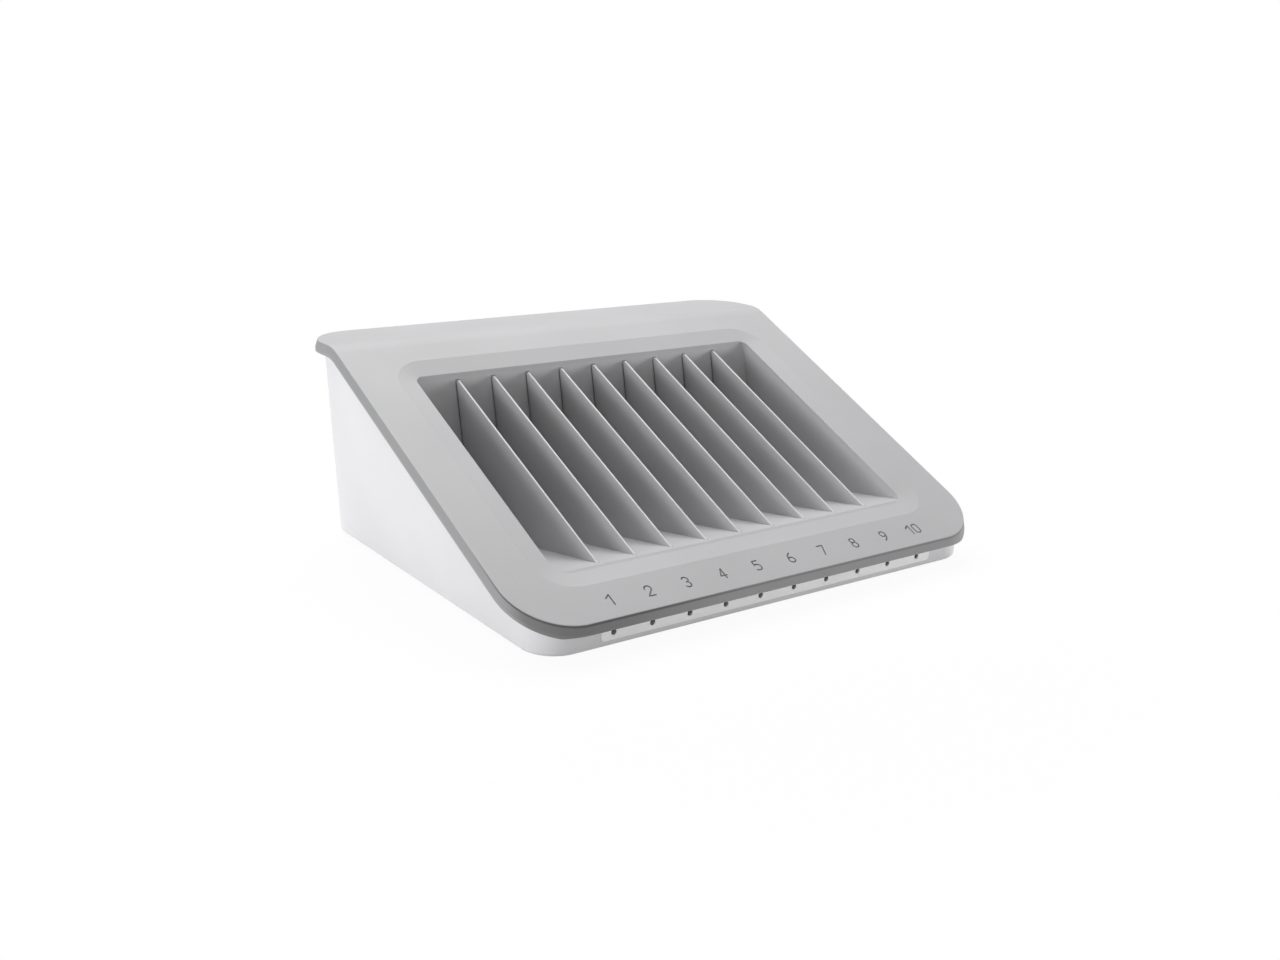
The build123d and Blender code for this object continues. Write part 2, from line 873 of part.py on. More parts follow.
tray_outside = trough(tray_wall, seat_depth)
lean_sin = sin(radians(back_lean))
lean_cos = cos(radians(back_lean))
tray_back = Plane(
    origin=(0, *trough_bottom(tray_wall)), x_dir=(1, 0, 0), z_dir=(0, -lean_cos, lean_sin)
)
trough_end = (0, *trough_bottom(0))
heel_y = trough_bottom(tray_wall)[0] - tray_wall
divider_top = on_slope(0, -divider_drop)
flange_top = on_slope(0, -seat_depth)


def divider_section(floor_depth, back_depth, top):
    """Side view of a divider let into the floor and the back wall by these depths."""
    tip = meeting(*floor_line(floor_depth), top, slope_angle)
    bottom = meeting(*floor_line(floor_depth), *back_line(back_depth))
    heel = meeting(*back_line(back_depth), top, slope_angle)
    with BuildSketch() as section:
        with BuildLine():
            Polyline(tip, bottom, heel, close=True)
        make_face()
        fillet(section.vertices().sort_by_distance(heel)[0], divider_corner_radius)
    return section.sketch


with BuildPart() as slot_tray:
    add(tray_outside)
    with BuildSketch(slope_plane.offset(-seat_depth)):
        with Locations((0, opening_middle)):
            RectangleRounded(seat_width, seat_length, dish_corner + seat_margin)
    extrude(amount=-flange_thickness)
    add(trough_space, mode=Mode.SUBTRACT)
    # Grooves for the dividers, wider at the back wall
    for i in range(divider_count):
        floor_groove = divider_thickness + 2 * floor_groove_clearance
        with BuildSketch(Plane.YZ.offset(divider_x(i) - floor_groove / 2)):
            add(divider_section(floor_groove_depth, back_groove_depth, flange_top))
        extrude(amount=floor_groove, mode=Mode.SUBTRACT)
        back_groove = divider_thickness + 2 * back_groove_clearance
        with BuildSketch(Plane.YZ.offset(divider_x(i) - back_groove / 2)):
            add(divider_section(0, back_groove_depth, flange_top))
        extrude(amount=back_groove, mode=Mode.SUBTRACT)
    # A gap for the charging leads between the floor and the back wall
    with BuildSketch(Plane(trough_end, x_dir=(1, 0, 0), z_dir=tray_back.z_dir)):
        Rectangle(
            opening_width - 2 * cable_gap_end, cable_gap_height, align=(Align.CENTER, Align.MIN)
        )
    extrude(amount=-2 * tray_wall, mode=Mode.SUBTRACT)
    # A heel under the floor's rear edge that rests on the tub's floor
    with BuildSketch(Plane.XY.offset(floor_z)):
        with Locations((0, heel_y)):
            Rectangle(opening_width, heel_depth, align=(Align.CENTER, Align.MAX))
    extrude(until=Until.NEXT)
    # Holes for the flange screws and the comb screws
    with BuildSketch(slope_plane.offset(-seat_depth)):
        with Locations(*seat_places()):
            Circle(tray_screw_radius + screw_clearance)
    extrude(amount=-flange_thickness, mode=Mode.SUBTRACT)
    comb_width = opening_width - 2 * comb_end_margin
    comb_screw_x = comb_width / 2 - comb_screw_head_radius - fixed_clearance
    comb_places = ((-comb_screw_x, comb_rise), (comb_screw_x, comb_rise))
    with BuildSketch(tray_back):
        with Locations(*comb_places):
            Circle(comb_screw_radius + screw_clearance)
    extrude(amount=comb_screw_bite, mode=Mode.SUBTRACT)
slot_tray.part.label = "slot_tray"
export_step(slot_tray.part, "parts/slot_tray.step")

# Dividers

for i in range(divider_count):
    with BuildPart() as divider:
        with BuildSketch(Plane.YZ.offset(divider_x(i) - divider_thickness / 2)):
            add(divider_section(floor_groove_depth, back_groove_depth - divider_back_gap, divider_top))
        extrude(amount=divider_thickness)
        fillet(divider.edges().filter_by(slope_axis), divider_edge_radius)
    divider.part.label = f"divider_{i + 1}"
    export_step(divider.part, f"parts/divider_{i + 1}.step")

# Light bar, its lenses and the lamps behind them

bar_middle = bar_rise + bar_height / 2
bar_back = wall_normal + bar_flange_thickness
lamp_places = [(slot_x(i) + lens_offset, lens_rise) for i in range(slot_count)]
peg_places = [(divider_x(i), lens_rise) for i in range(0, divider_count, peg_step)]
board_face = bar_back + chip_lens_gap + chip_height

with BuildPart() as light_bar:
    with BuildSketch(front_wall.offset(bar_proud)):
        with Locations((0, bar_middle)):
            RectangleRounded(bar_width, bar_height, bar_corner)
    extrude(amount=-(bar_proud + bar_back))
    with BuildSketch(front_wall.offset(-wall_normal)):
        with Locations((0, bar_middle + bar_flange)):
            RectangleRounded(bar_width + 2 * bar_flange, bar_height, bar_corner)
    extrude(amount=-bar_flange_thickness)
    fillet(light_bar.faces().sort_by(Axis.Y)[0].outer_wire().edges(), bar_edge_radius)
    with BuildSketch(front_wall.offset(-bar_back)):
        with Locations(*peg_places):
            Circle(peg_shoulder_radius)
    extrude(amount=bar_back - board_face)
    with BuildSketch(front_wall.offset(-board_face)):
        with Locations(*peg_places):
            Circle(peg_radius)
    extrude(amount=-peg_length)
    with BuildSketch(front_wall.offset(bar_proud)):
        with Locations(*lamp_places):
            Circle(lens_radius + lens_clearance)
    extrude(amount=-(bar_proud + bar_back), mode=Mode.SUBTRACT)
light_bar.part.label = "light_bar"
export_step(light_bar.part, "parts/light_bar.step")

with BuildPart() as led_lenses:
    with BuildSketch(front_wall.offset(-bar_back)):
        with Locations(*lamp_places):
            Circle(lens_radius)
    extrude(amount=bar_back + bar_proud - lens_recess)
    fillet(led_lenses.edges().group_by(Axis.Y)[0], lens_edge_radius)
led_lenses.part.label = "led_lenses"
export_step(led_lenses.part, "parts/led_lenses.step")

with BuildPart() as led_chips:
    with BuildSketch(front_wall.offset(-board_face)):
        with Locations(*lamp_places):
            Rectangle(chip_side, chip_side)
    extrude(amount=chip_height)
led_chips.part.label = "led_chips"
export_step(led_chips.part, "parts/led_chips.step")

with BuildPart() as led_board:
    with BuildSketch(front_wall.offset(-board_face)):
        with Locations((0, lens_rise)):
            Rectangle(led_board_width, led_board_height)
        with Locations(*peg_places):
            Circle(peg_radius + fixed_clearance, mode=Mode.SUBTRACT)
    extrude(amount=-led_board_thickness)
led_board.part.label = "led_board"
export_step(led_board.part, "parts/led_board.step")

# Charging hub

hub_rear = hub_y + hub_depth / 2
hub_top = floor_z + hub_height
lid_z = hub_top - hub_lid_height
port_z = floor_z + port_rise
hub_board_top = port_z - port_height / 2
hub_board_bottom = hub_board_top - board_thickness
hub_board_rear = hub_rear - hub_wall - hub_board_margin
hub_board_depth = hub_depth - 2 * (hub_wall + hub_board_margin)
hub_board_width = hub_width - 2 * (hub_wall + hub_board_margin)
port_places = [(hub_middle_x + (i - (slot_count - 1) / 2) * port_pitch, port_z) for i in range(slot_count)]
controller_y = hub_rear - port_depth - controller_setback
hub_post_places = [
    (
        hub_middle_x + x * (hub_board_width / 2 - hub_post_radius),
        hub_y + y * (hub_board_depth / 2 - hub_post_radius),
    )
    for x in (-1, 1)
    for y in (-1, 1)
]

with BuildPart() as hub_case:
    with BuildSketch(Plane.XY.offset(floor_z)):
        with Locations((hub_middle_x, hub_y)):
            RectangleRounded(hub_width, hub_depth, hub_corner)
    extrude(amount=lid_z - floor_z)
    with BuildSketch(Plane.XY.offset(ear_z)):
        with Locations(*hub_ears):
            Circle(ear_radius)
        for x, y in hub_ears:
            inward = 1 if x < hub_middle_x else -1
            with Locations((x + inward * ear_radius / 2, y)):
                Rectangle(ear_radius, 2 * ear_radius)
    extrude(amount=ear_thickness)
    with BuildSketch(Plane.XY.offset(floor_z + hub_wall)):
        with Locations((hub_middle_x, hub_y)):
            RectangleRounded(hub_width - 2 * hub_wall, hub_depth - 2 * hub_wall, hub_corner - hub_wall)
    extrude(amount=hub_height, mode=Mode.SUBTRACT)
    with BuildSketch(Plane.XY.offset(floor_z + hub_wall / 2)):
        with Locations(*hub_post_places):
            Circle(hub_post_radius)
    extrude(amount=hub_board_bottom - floor_z - hub_wall / 2)
    with BuildSketch(Plane.XZ.offset(-hub_rear)):
        with Locations(*port_places):
            Rectangle(port_width + 2 * port_clearance, port_height + 2 * port_clearance)
    extrude(amount=hub_wall, mode=Mode.SUBTRACT)
    with Locations(*[(x, y, ear_z + ear_thickness) for x, y in hub_ears]):
        Hole(ear_screw_radius + screw_clearance, depth=ear_thickness)
hub_case.part.label = "hub_case"
export_step(hub_case.part, "parts/hub_case.step")

with BuildPart() as hub_lid:
    with BuildSketch(Plane.XY.offset(lid_z)):
        with Locations((hub_middle_x, hub_y)):
            RectangleRounded(hub_width, hub_depth, hub_corner)
    extrude(amount=hub_lid_height)
    fillet(hub_lid.faces().sort_by(Axis.Z)[-1].edges(), hub_edge_radius)
    lip = hub_wall + hub_lid_lap
    with BuildSketch(Plane.XY.offset(lid_z - hub_lip_depth)):
        with Locations((hub_middle_x, hub_y)):
            RectangleRounded(hub_width - 2 * lip, hub_depth - 2 * lip, hub_corner - hub_wall)
    extrude(amount=hub_lip_depth)
    lip = hub_wall + hub_lid_lap + hub_lip_thickness
    with BuildSketch(Plane.XY.offset(lid_z - hub_lip_depth)):
        with Locations((hub_middle_x, hub_y)):
            Rectangle(hub_width - 2 * lip, hub_depth - 2 * lip)
    extrude(amount=hub_lip_depth + hub_lid_height - hub_wall, mode=Mode.SUBTRACT)
hub_lid.part.label = "hub_lid"
export_step(hub_lid.part, "parts/hub_lid.step")

with BuildPart() as hub_board:
    with BuildSketch(Plane.XY.offset(hub_board_bottom)):
        with Locations((hub_middle_x, hub_y)):
            Rectangle(hub_board_width, hub_board_depth)
    extrude(amount=board_thickness)
hub_board.part.label = "hub_board"
export_step(hub_board.part, "parts/hub_board.step")

with BuildPart() as usb_ports:
    with BuildSketch(Plane.XZ.offset(-hub_rear)):
        with Locations(*port_places):
            Rectangle(port_width, port_height)
    extrude(amount=port_depth)
    with BuildSketch(Plane.XZ.offset(-hub_rear)):
        with Locations(*port_places):
            Rectangle(port_width - 2 * port_wall, port_height - 2 * port_wall)
            tongue_drop = port_height / 2 - port_wall - port_tongue
        with Locations(*[(x, z + tongue_drop) for x, z in port_places]):
            Rectangle(port_width - 4 * port_wall, port_tongue, mode=Mode.SUBTRACT)
    extrude(amount=port_depth - port_wall, mode=Mode.SUBTRACT)
usb_ports.part.label = "usb_ports"
export_step(usb_ports.part, "parts/usb_ports.step")

with BuildPart() as port_controllers:
    with BuildSketch(Plane.XY.offset(hub_board_top)):
        with Locations(*[(x, controller_y) for x, z in port_places]):
            Rectangle(controller_side, controller_side)
    extrude(amount=controller_height)
port_controllers.part.label = "port_controllers"
export_step(port_controllers.part, "parts/port_controllers.step")

sink_z = hub_board_top + controller_height
fin_count = int(sink_depth // sink_fin_pitch)
with BuildPart() as hub_heat_sink:
    with BuildSketch(Plane.XY.offset(sink_z)):
        with Locations((hub_middle_x, controller_y)):
            Rectangle(port_pitch * slot_count, sink_depth)
    extrude(amount=sink_fin)
    with BuildSketch(Plane.XY.offset(sink_z + sink_fin)):
        with Locations((hub_middle_x, controller_y)):
            with GridLocations(0, sink_fin_pitch, 1, fin_count):
                Rectangle(port_pitch * slot_count, sink_fin)
    extrude(amount=sink_height - sink_fin)
hub_heat_sink.part.label = "hub_heat_sink"
export_step(hub_heat_sink.part, "parts/hub_heat_sink.step")

# Power supply

supply_top = ear_z + supply_height
supply_inner = supply_width - 2 * supply_metal
supply_board_z = ear_z + supply_metal + supply_post_height
supply_parts_z = supply_board_z + board_thickness

with BuildPart() as supply_chassis:
    with BuildSketch(Plane.XY.offset(ear_z)):
        with Locations((supply_x, supply_y)):
            Rectangle(supply_width, supply_depth)
        with Locations(*supply_ears):
            Circle(ear_radius)
        for x, y in supply_ears:
            inward = 1 if y < supply_y else -1
            with Locations((x, y + inward * ear_radius / 2)):
                Rectangle(2 * ear_radius, ear_radius)
        with Locations(*supply_ears):
            Circle(ear_screw_radius + screw_clearance, mode=Mode.SUBTRACT)
    extrude(amount=supply_metal)
    with BuildSketch(Plane.XY.offset(ear_z + supply_metal)):
        with Locations((supply_x, supply_y)):
            Rectangle(supply_width, supply_depth)
            Rectangle(supply_inner, supply_depth, mode=Mode.SUBTRACT)
    extrude(amount=supply_height - 2 * supply_metal)
    with BuildSketch(Plane.XY.offset(ear_z + supply_metal)):
        with Locations((supply_x, supply_y)):
            post_x = supply_inner - 2 * supply_margin - 2 * supply_post_radius
            post_y = supply_depth - 2 * supply_margin - 2 * supply_post_radius - 2 * supply_metal
            with GridLocations(post_x, post_y, 2, 2):
                Circle(supply_post_radius)
    extrude(amount=supply_post_height)
supply_chassis.part.label = "supply_chassis"
export_step(supply_chassis.part, "parts/supply_chassis.step")

with BuildPart() as supply_cover:
    with BuildSketch(Plane.XY.offset(supply_top - supply_metal)):
        with Locations((supply_x, supply_y)):
            Rectangle(supply_width, supply_depth)
    extrude(amount=supply_metal)
    with BuildSketch(Plane.XY.offset(ear_z + supply_metal)):
        with Locations((supply_x, supply_y)):
            Rectangle(supply_inner - 2 * supply_clearance, supply_depth)
            Rectangle(supply_inner, supply_depth - 2 * supply_metal, mode=Mode.SUBTRACT)
    extrude(amount=supply_height - 2 * supply_metal)
    with BuildSketch(Plane.XY.offset(supply_top)):
        with Locations((supply_x, supply_y - supply_vent_setback)):
            with GridLocations(vent_pitch, 0, supply_vent_count, 1):
                SlotOverall(vent_length, vent_width, rotation=90)
    extrude(amount=-supply_metal, mode=Mode.SUBTRACT)
supply_cover.part.label = "supply_cover"
export_step(supply_cover.part, "parts/supply_cover.step")

with BuildPart() as supply_board:
    with BuildSketch(Plane.XY.offset(supply_board_z)):
        with Locations((supply_x, supply_y)):
            Rectangle(
                supply_inner - 2 * supply_margin, supply_depth - 2 * supply_metal - 2 * supply_margin
            )
    extrude(amount=board_thickness)
supply_board.part.label = "supply_board"
export_step(supply_board.part, "parts/supply_board.step")

with BuildPart() as supply_transformer:
    with BuildSketch(Plane.XY.offset(supply_parts_z)):
        with Locations((supply_x + core_offset, supply_y)):
            Rectangle(core_width, core_depth)
    extrude(amount=core_height)
    with BuildSketch(Plane.XY.offset(supply_parts_z + winding_margin)):
        with Locations((supply_x + core_offset, supply_y)):
            RectangleRounded(core_width - 2 * winding_margin, core_depth + 2 * winding_margin, winding_margin)
    extrude(amount=core_height - 2 * winding_margin)
supply_transformer.part.label = "supply_transformer"
export_step(supply_transformer.part, "parts/supply_transformer.step")

with BuildPart() as supply_capacitors:
    with BuildSketch(Plane.XY.offset(supply_parts_z)):
        with Locations((supply_x - capacitor_offset, supply_y)):
            with GridLocations(0, capacitor_pitch, 1, capacitor_count):
                Circle(capacitor_radius)
    extrude(amount=capacitor_height)
    fillet(supply_capacitors.edges().group_by(Axis.Z)[-1], capacitor_edge_radius)
supply_capacitors.part.label = "supply_capacitors"
export_step(supply_capacitors.part, "parts/supply_capacitors.step")

# Power inlet

blade_places = (
    (-inlet_x - blade_pitch / 2, inlet_rise - earth_rise / 2),
    (-inlet_x + blade_pitch / 2, inlet_rise - earth_rise / 2),
    (-inlet_x, inlet_rise + earth_rise / 2),
)
socket_floor = inlet_socket_depth - inlet_flange_thickness

with BuildPart() as power_inlet:
    with BuildSketch(rear_wall):
        with Locations((-inlet_x, inlet_rise)):
            RectangleRounded(inlet_flange_width, inlet_flange_height, inlet_corner)
        with Locations(*inlet_screw_places):
            Circle(inlet_screw_radius + screw_clearance, mode=Mode.SUBTRACT)
    extrude(amount=inlet_flange_thickness)
    with BuildSketch(rear_wall):
        with Locations((-inlet_x, inlet_rise)):
            Rectangle(inlet_body_width, inlet_body_height)
    extrude(amount=-inlet_body_depth)
    with BuildSketch(rear_wall.offset(inlet_flange_thickness)) as socket:
        with Locations((-inlet_x, inlet_rise)):
            Rectangle(inlet_socket_width, inlet_socket_height)
        chamfer(socket.vertices().group_by(Axis.Y)[-1], inlet_socket_chamfer)
    extrude(amount=-inlet_socket_depth, mode=Mode.SUBTRACT)
    with BuildSketch(rear_wall.offset(-socket_floor)):
        with Locations(*blade_places):
            Rectangle(blade_width + 2 * fixed_clearance, blade_height + 2 * fixed_clearance)
    extrude(amount=-inlet_body_depth, mode=Mode.SUBTRACT)
power_inlet.part.label = "power_inlet"
export_step(power_inlet.part, "parts/power_inlet.step")

with BuildPart() as inlet_blades:
    with BuildSketch(rear_wall.offset(blade_reach - socket_floor)):
        with Locations(*blade_places):
            Rectangle(blade_width, blade_height)
    extrude(amount=-(blade_reach - socket_floor + inlet_body_depth + blade_tail))
inlet_blades.part.label = "inlet_blades"
export_step(inlet_blades.part, "parts/inlet_blades.step")

# Rocker switch

rocker_edge_height = rocker_valley + rocker_length / 2 * tan(radians(rocker_tilt))
rocker_flush = rocker_valley * cos(radians(rocker_tilt))
rocker_axis_depth = rocker_flush - bezel_thickness - rocker_proud
pocket_length = 2 * (hypot(rocker_length / 2, rocker_edge_height) + rocker_end_gap)
pocket_depth = rocker_axis_depth + bezel_thickness + hypot(rocker_belly, rocker_belly) + rocker_end_gap
pocket_width = rocker_width + 2 * rocker_side_gap
rocker_pin_length = pocket_width + 2 * rocker_pin_bite
rocker_origin = rear_wall.from_local_coords((-switch_x, inlet_rise, -rocker_axis_depth))
rocker_plane = Plane(origin=rocker_origin, x_dir=rear_wall.z_dir, z_dir=-rear_wall.x_dir)
rocker_rest = Plane(rocker_plane.location * Rotation(0, 0, -rocker_tilt))
switch_tab_places = [(-switch_x, inlet_rise + side * switch_tab_pitch / 2) for side in (-1, 1)]

with BuildPart() as switch_housing:
    with BuildSketch(rear_wall):
        with Locations((-switch_x, inlet_rise)):
            RectangleRounded(bezel_width, bezel_height, bezel_corner)
    extrude(amount=bezel_thickness)
    with BuildSketch(rear_wall):
        with Locations((-switch_x, inlet_rise)):
            Rectangle(switch_body_width, switch_body_height)
    extrude(amount=-switch_body_depth)
    with BuildSketch(rear_wall.offset(bezel_thickness)):
        with Locations((-switch_x, inlet_rise)):
            Rectangle(pocket_width, pocket_length)
    extrude(amount=-pocket_depth, mode=Mode.SUBTRACT)
    with BuildSketch(rocker_plane):
        Circle(rocker_pin_radius + running_clearance)
    extrude(amount=rocker_pin_length / 2 + rocker_side_gap, both=True, mode=Mode.SUBTRACT)
switch_housing.part.label = "switch_housing"
export_step(switch_housing.part, "parts/switch_housing.step")

with BuildPart() as switch_rocker:
    with BuildSketch(rocker_rest):
        with BuildLine():
            Polyline(
                (rocker_edge_height - rocker_edge, rocker_length / 2),
                (rocker_edge_height, rocker_length / 2),
                (rocker_valley, 0),
                (rocker_edge_height, -rocker_length / 2),
                (rocker_edge_height - rocker_edge, -rocker_length / 2),
                (-rocker_belly, -rocker_belly / 2),
                (-rocker_belly, rocker_belly / 2),
                close=True,
            )
        make_face()
    extrude(amount=rocker_width / 2, both=True)
    with BuildSketch(rocker_plane):
        Circle(rocker_pin_radius + fixed_clearance)
    extrude(amount=rocker_width, both=True, mode=Mode.SUBTRACT)
switch_rocker.part.label = "switch_rocker"
export_step(switch_rocker.part, "parts/switch_rocker.step")

with BuildPart() as rocker_pin:
    with BuildSketch(rocker_plane):
        Circle(rocker_pin_radius)
    extrude(amount=rocker_pin_length / 2, both=True)
rocker_pin.part.label = "rocker_pin"
export_step(rocker_pin.part, "parts/rocker_pin.step")

with BuildPart() as switch_tabs:
    with BuildSketch(rear_wall.offset(-switch_body_depth)):
        with Locations(*switch_tab_places):
            Rectangle(switch_tab_width, switch_tab_thickness)
    extrude(amount=-switch_tab_length)
switch_tabs.part.label = "switch_tabs"
export_step(switch_tabs.part, "parts/switch_tabs.step")

# Rear door

door_left = door_x - door_width / 2

with BuildPart() as rear_door:
    with BuildSketch(rear_wall) as door_outline:
        with Locations((-door_x, door_rise)):
            Rectangle(door_width, door_height, align=(Align.CENTER, Align.MIN))
        fillet(door_outline.vertices().group_by(Axis.Y)[-1], door_corner)
        with Locations((-door_x, door_rise + door_height / 2)):
            with GridLocations(
                door_vent_column_pitch, door_vent_row_pitch, door_vent_columns, door_vent_rows
            ):
                SlotOverall(vent_length, vent_width, rotation=90, mode=Mode.SUBTRACT)
    extrude(amount=-door_thickness)
    with BuildSketch(rear_wall):
        with Locations((-door_x, door_rise)):
            Rectangle(door_width, door_band_height, align=(Align.CENTER, Align.MIN))
    extrude(amount=-2 * door_thickness)
    with BuildSketch(Plane.YZ.offset(door_left)):
        with Locations(hinge_place):
            Circle(door_thickness)
    extrude(amount=door_width)
    # A lip to pull the door by
    with BuildSketch(rear_wall):
        with Locations((-door_x, door_rise + door_height)):
            Rectangle(lip_width, lip_height, align=(Align.CENTER, Align.MAX))
    extrude(amount=lip_reach)
    fillet(rear_door.faces().sort_by(rear_axis)[-1].edges(), lip_edge_radius)
    # Bumps that snap under the top of the opening
    with BuildSketch(rear_wall.offset(-door_thickness / 4)):
        with Locations(
            *[(-door_x + side * door_width * snap_share, door_rise + door_height) for side in (-1, 1)]
        ):
            Rectangle(snap_width, 2 * snap_height)
    extrude(amount=-door_thickness / 2)
    with BuildSketch(Plane.YZ.offset(door_left)):
        with Locations(hinge_place):
            Circle(door_pin_radius + fixed_clearance)
    extrude(amount=door_pin_length - door_pin_bite, mode=Mode.SUBTRACT)
    with BuildSketch(Plane.YZ.offset(door_left + door_width)):
        with Locations(hinge_place):
            Circle(door_pin_radius + fixed_clearance)
    extrude(amount=-(door_pin_length - door_pin_bite), mode=Mode.SUBTRACT)
rear_door.part.label = "rear_door"
export_step(rear_door.part, "parts/rear_door.step")

with BuildPart() as door_pins:
    with BuildSketch(Plane.YZ.offset(door_left - door_pin_bite)):
        with Locations(hinge_place):
            Circle(door_pin_radius)
    extrude(amount=door_pin_length)
    with BuildSketch(Plane.YZ.offset(door_left + door_width + door_pin_bite)):
        with Locations(hinge_place):
            Circle(door_pin_radius)
    extrude(amount=-door_pin_length)
door_pins.part.label = "door_pins"
export_step(door_pins.part, "parts/door_pins.step")

# Cable comb

with BuildPart() as cable_comb:
    with BuildSketch(tray_back):
        with Locations((0, comb_rise)):
            Rectangle(comb_width, comb_height)
        for i in range(slot_count):
            with Locations((slot_x(i), comb_rise)):
                Circle(comb_notch_radius, mode=Mode.SUBTRACT)
                Rectangle(
                    2 * comb_notch_radius,
                    comb_height,
                    align=(Align.CENTER, Align.MIN),
                    mode=Mode.SUBTRACT,
                )
        with Locations(*comb_places):
            Circle(comb_screw_radius + screw_clearance, mode=Mode.SUBTRACT)
    extrude(amount=-comb_depth)
cable_comb.part.label = "cable_comb"
export_step(cable_comb.part, "parts/cable_comb.step")

# Leads that stay inside, and the clips of the lamp lead

inlet_tail = -(inlet_body_depth + blade_tail)
tab_end = -(switch_body_depth + switch_tab_length)


def behind_wall(x, rise, depth):
    """A point given by its X, its height up the rear wall and its depth behind the wall's face."""
    return rear_wall.from_local_coords((-x, rise, depth))


def drop_to_supply(start):
    """The point straight under start on the power supply's cover."""
    return Vector(start.X, start.Y, supply_top)


live_x = inlet_x + blade_pitch / 2
neutral_x = inlet_x - blade_pitch / 2
blade_rise = inlet_rise - earth_rise / 2
neutral_turn = behind_wall(neutral_x, blade_rise, inlet_tail - lead_reach)
earth_turn = behind_wall(inlet_x, inlet_rise + earth_rise / 2, inlet_tail - 2 * lead_reach)
switched_turn = behind_wall(switch_x, inlet_rise + switch_tab_pitch / 2, tab_end - 2 * lead_reach)
switched_low = Vector(
    supply_x + supply_width / 2 - supply_lead_inset, switched_turn.Y, supply_top + lead_reach
)
mains_routes = [
    [
        behind_wall(live_x, blade_rise, inlet_tail),
        behind_wall(live_x, blade_rise, inlet_tail - lead_reach),
        behind_wall(switch_x, inlet_rise - switch_tab_pitch / 2, inlet_tail - lead_reach),
        behind_wall(switch_x, inlet_rise - switch_tab_pitch / 2, tab_end),
    ],
    [
        behind_wall(switch_x, inlet_rise + switch_tab_pitch / 2, tab_end),
        switched_turn,
        switched_low,
        drop_to_supply(switched_low),
    ],
    [behind_wall(neutral_x, blade_rise, inlet_tail), neutral_turn, drop_to_supply(neutral_turn)],
    [
        behind_wall(inlet_x, inlet_rise + earth_rise / 2, inlet_tail),
        earth_turn,
        drop_to_supply(earth_turn),
    ],
]
mains_tubes = [tube(route, mains_lead_bend, mains_lead_radius) for route in mains_routes]
with BuildPart() as mains_leads:
    add(mains_tubes)
mains_leads.part.label = "mains_leads"
export_step(mains_leads.part, "parts/mains_leads.step")

dc_start = Vector(supply_x + supply_width / 2, hub_y, port_z)
dc_end = Vector(hub_left, hub_y, port_z)
dc_tube = tube([dc_start, dc_end], 0, dc_lead_radius)
with BuildPart() as dc_lead:
    add(dc_tube)
dc_lead.part.label = "dc_lead"
export_step(dc_lead.part, "parts/dc_lead.step")

lamp_lead_z = floor_z + led_lead_rise
turn_y = front_y + led_lead_turn
board_back = board_face + led_board_thickness
lamp_route = [
    Vector(hub_right, hub_y, lamp_lead_z),
    Vector(led_lead_x, hub_y, lamp_lead_z),
    Vector(led_lead_x, turn_y, lamp_lead_z),
    front_wall.from_local_coords((led_lead_end_x, lens_rise, -(board_back + led_lead_end_run))),
    front_wall.from_local_coords((led_lead_end_x, lens_rise, -board_back)),
]
lamp_tube = tube(lamp_route, led_lead_bend, led_lead_radius)
with BuildPart() as led_lead:
    add(lamp_tube)
led_lead.part.label = "led_lead"
export_step(led_lead.part, "parts/led_lead.step")

clip_side = 2 * (led_lead_radius + clip_wall)
clip_height = led_lead_rise + led_lead_radius + clip_wall
clip_places = [(led_lead_x, turn_y + share * (hub_y - turn_y)) for share in clip_shares]
with BuildPart() as lead_clips:
    with BuildSketch(Plane.XY.offset(floor_z)):
        with Locations(*clip_places):
            Rectangle(clip_side, clip_length)
    extrude(amount=clip_height)
    with BuildSketch(Plane.XZ.offset(-hub_y)):
        with Locations((led_lead_x, lamp_lead_z)):
            Circle(led_lead_radius + clip_clearance)
    extrude(amount=hub_y - turn_y, mode=Mode.SUBTRACT)
lead_clips.part.label = "lead_clips"
export_step(lead_clips.part, "parts/lead_clips.step")

# Screws, each kind a group of separate solids

cover_screw = screw(
    cover_screw_head_radius, cover_screw_head_height, cover_screw_radius, pillar_web + cover_screw_bite
)
cover_screw_places = [
    Location(Plane(origin=(x, y, seat - pillar_web), x_dir=(1, 0, 0), z_dir=(0, 0, -1)))
    for x, y, seat in pillar_list()
]
cover_screws = group("cover_screws", cover_screw_places, cover_screw)
export_step(cover_screws, "parts/cover_screws.step")

tray_screw = screw(
    tray_screw_head_radius, tray_screw_head_height, tray_screw_radius, flange_thickness + tray_screw_bite
)
flange_under = slope_plane.offset(-(seat_depth + flange_thickness))
tray_screw_places = [
    Location(
        Plane(
            origin=flange_under.from_local_coords((x, along, 0)),
            x_dir=(1, 0, 0),
            z_dir=-flange_under.z_dir,
        )
    )
    for x, along in seat_places()
]
tray_screws = group("tray_screws", tray_screw_places, tray_screw)
export_step(tray_screws, "parts/tray_screws.step")

hub_screw = screw(
    ear_screw_head_radius, ear_screw_head_height, ear_screw_radius, ear_thickness + ear_screw_length
)
hub_screws = group(
    "hub_screws", [Location((x, y, ear_z + ear_thickness)) for x, y in hub_ears], hub_screw
)
export_step(hub_screws, "parts/hub_screws.step")

supply_screw = screw(
    ear_screw_head_radius, ear_screw_head_height, ear_screw_radius, supply_metal + ear_screw_length
)
supply_screws = group(
    "supply_screws", [Location((x, y, ear_z + supply_metal)) for x, y in supply_ears], supply_screw
)
export_step(supply_screws, "parts/supply_screws.step")

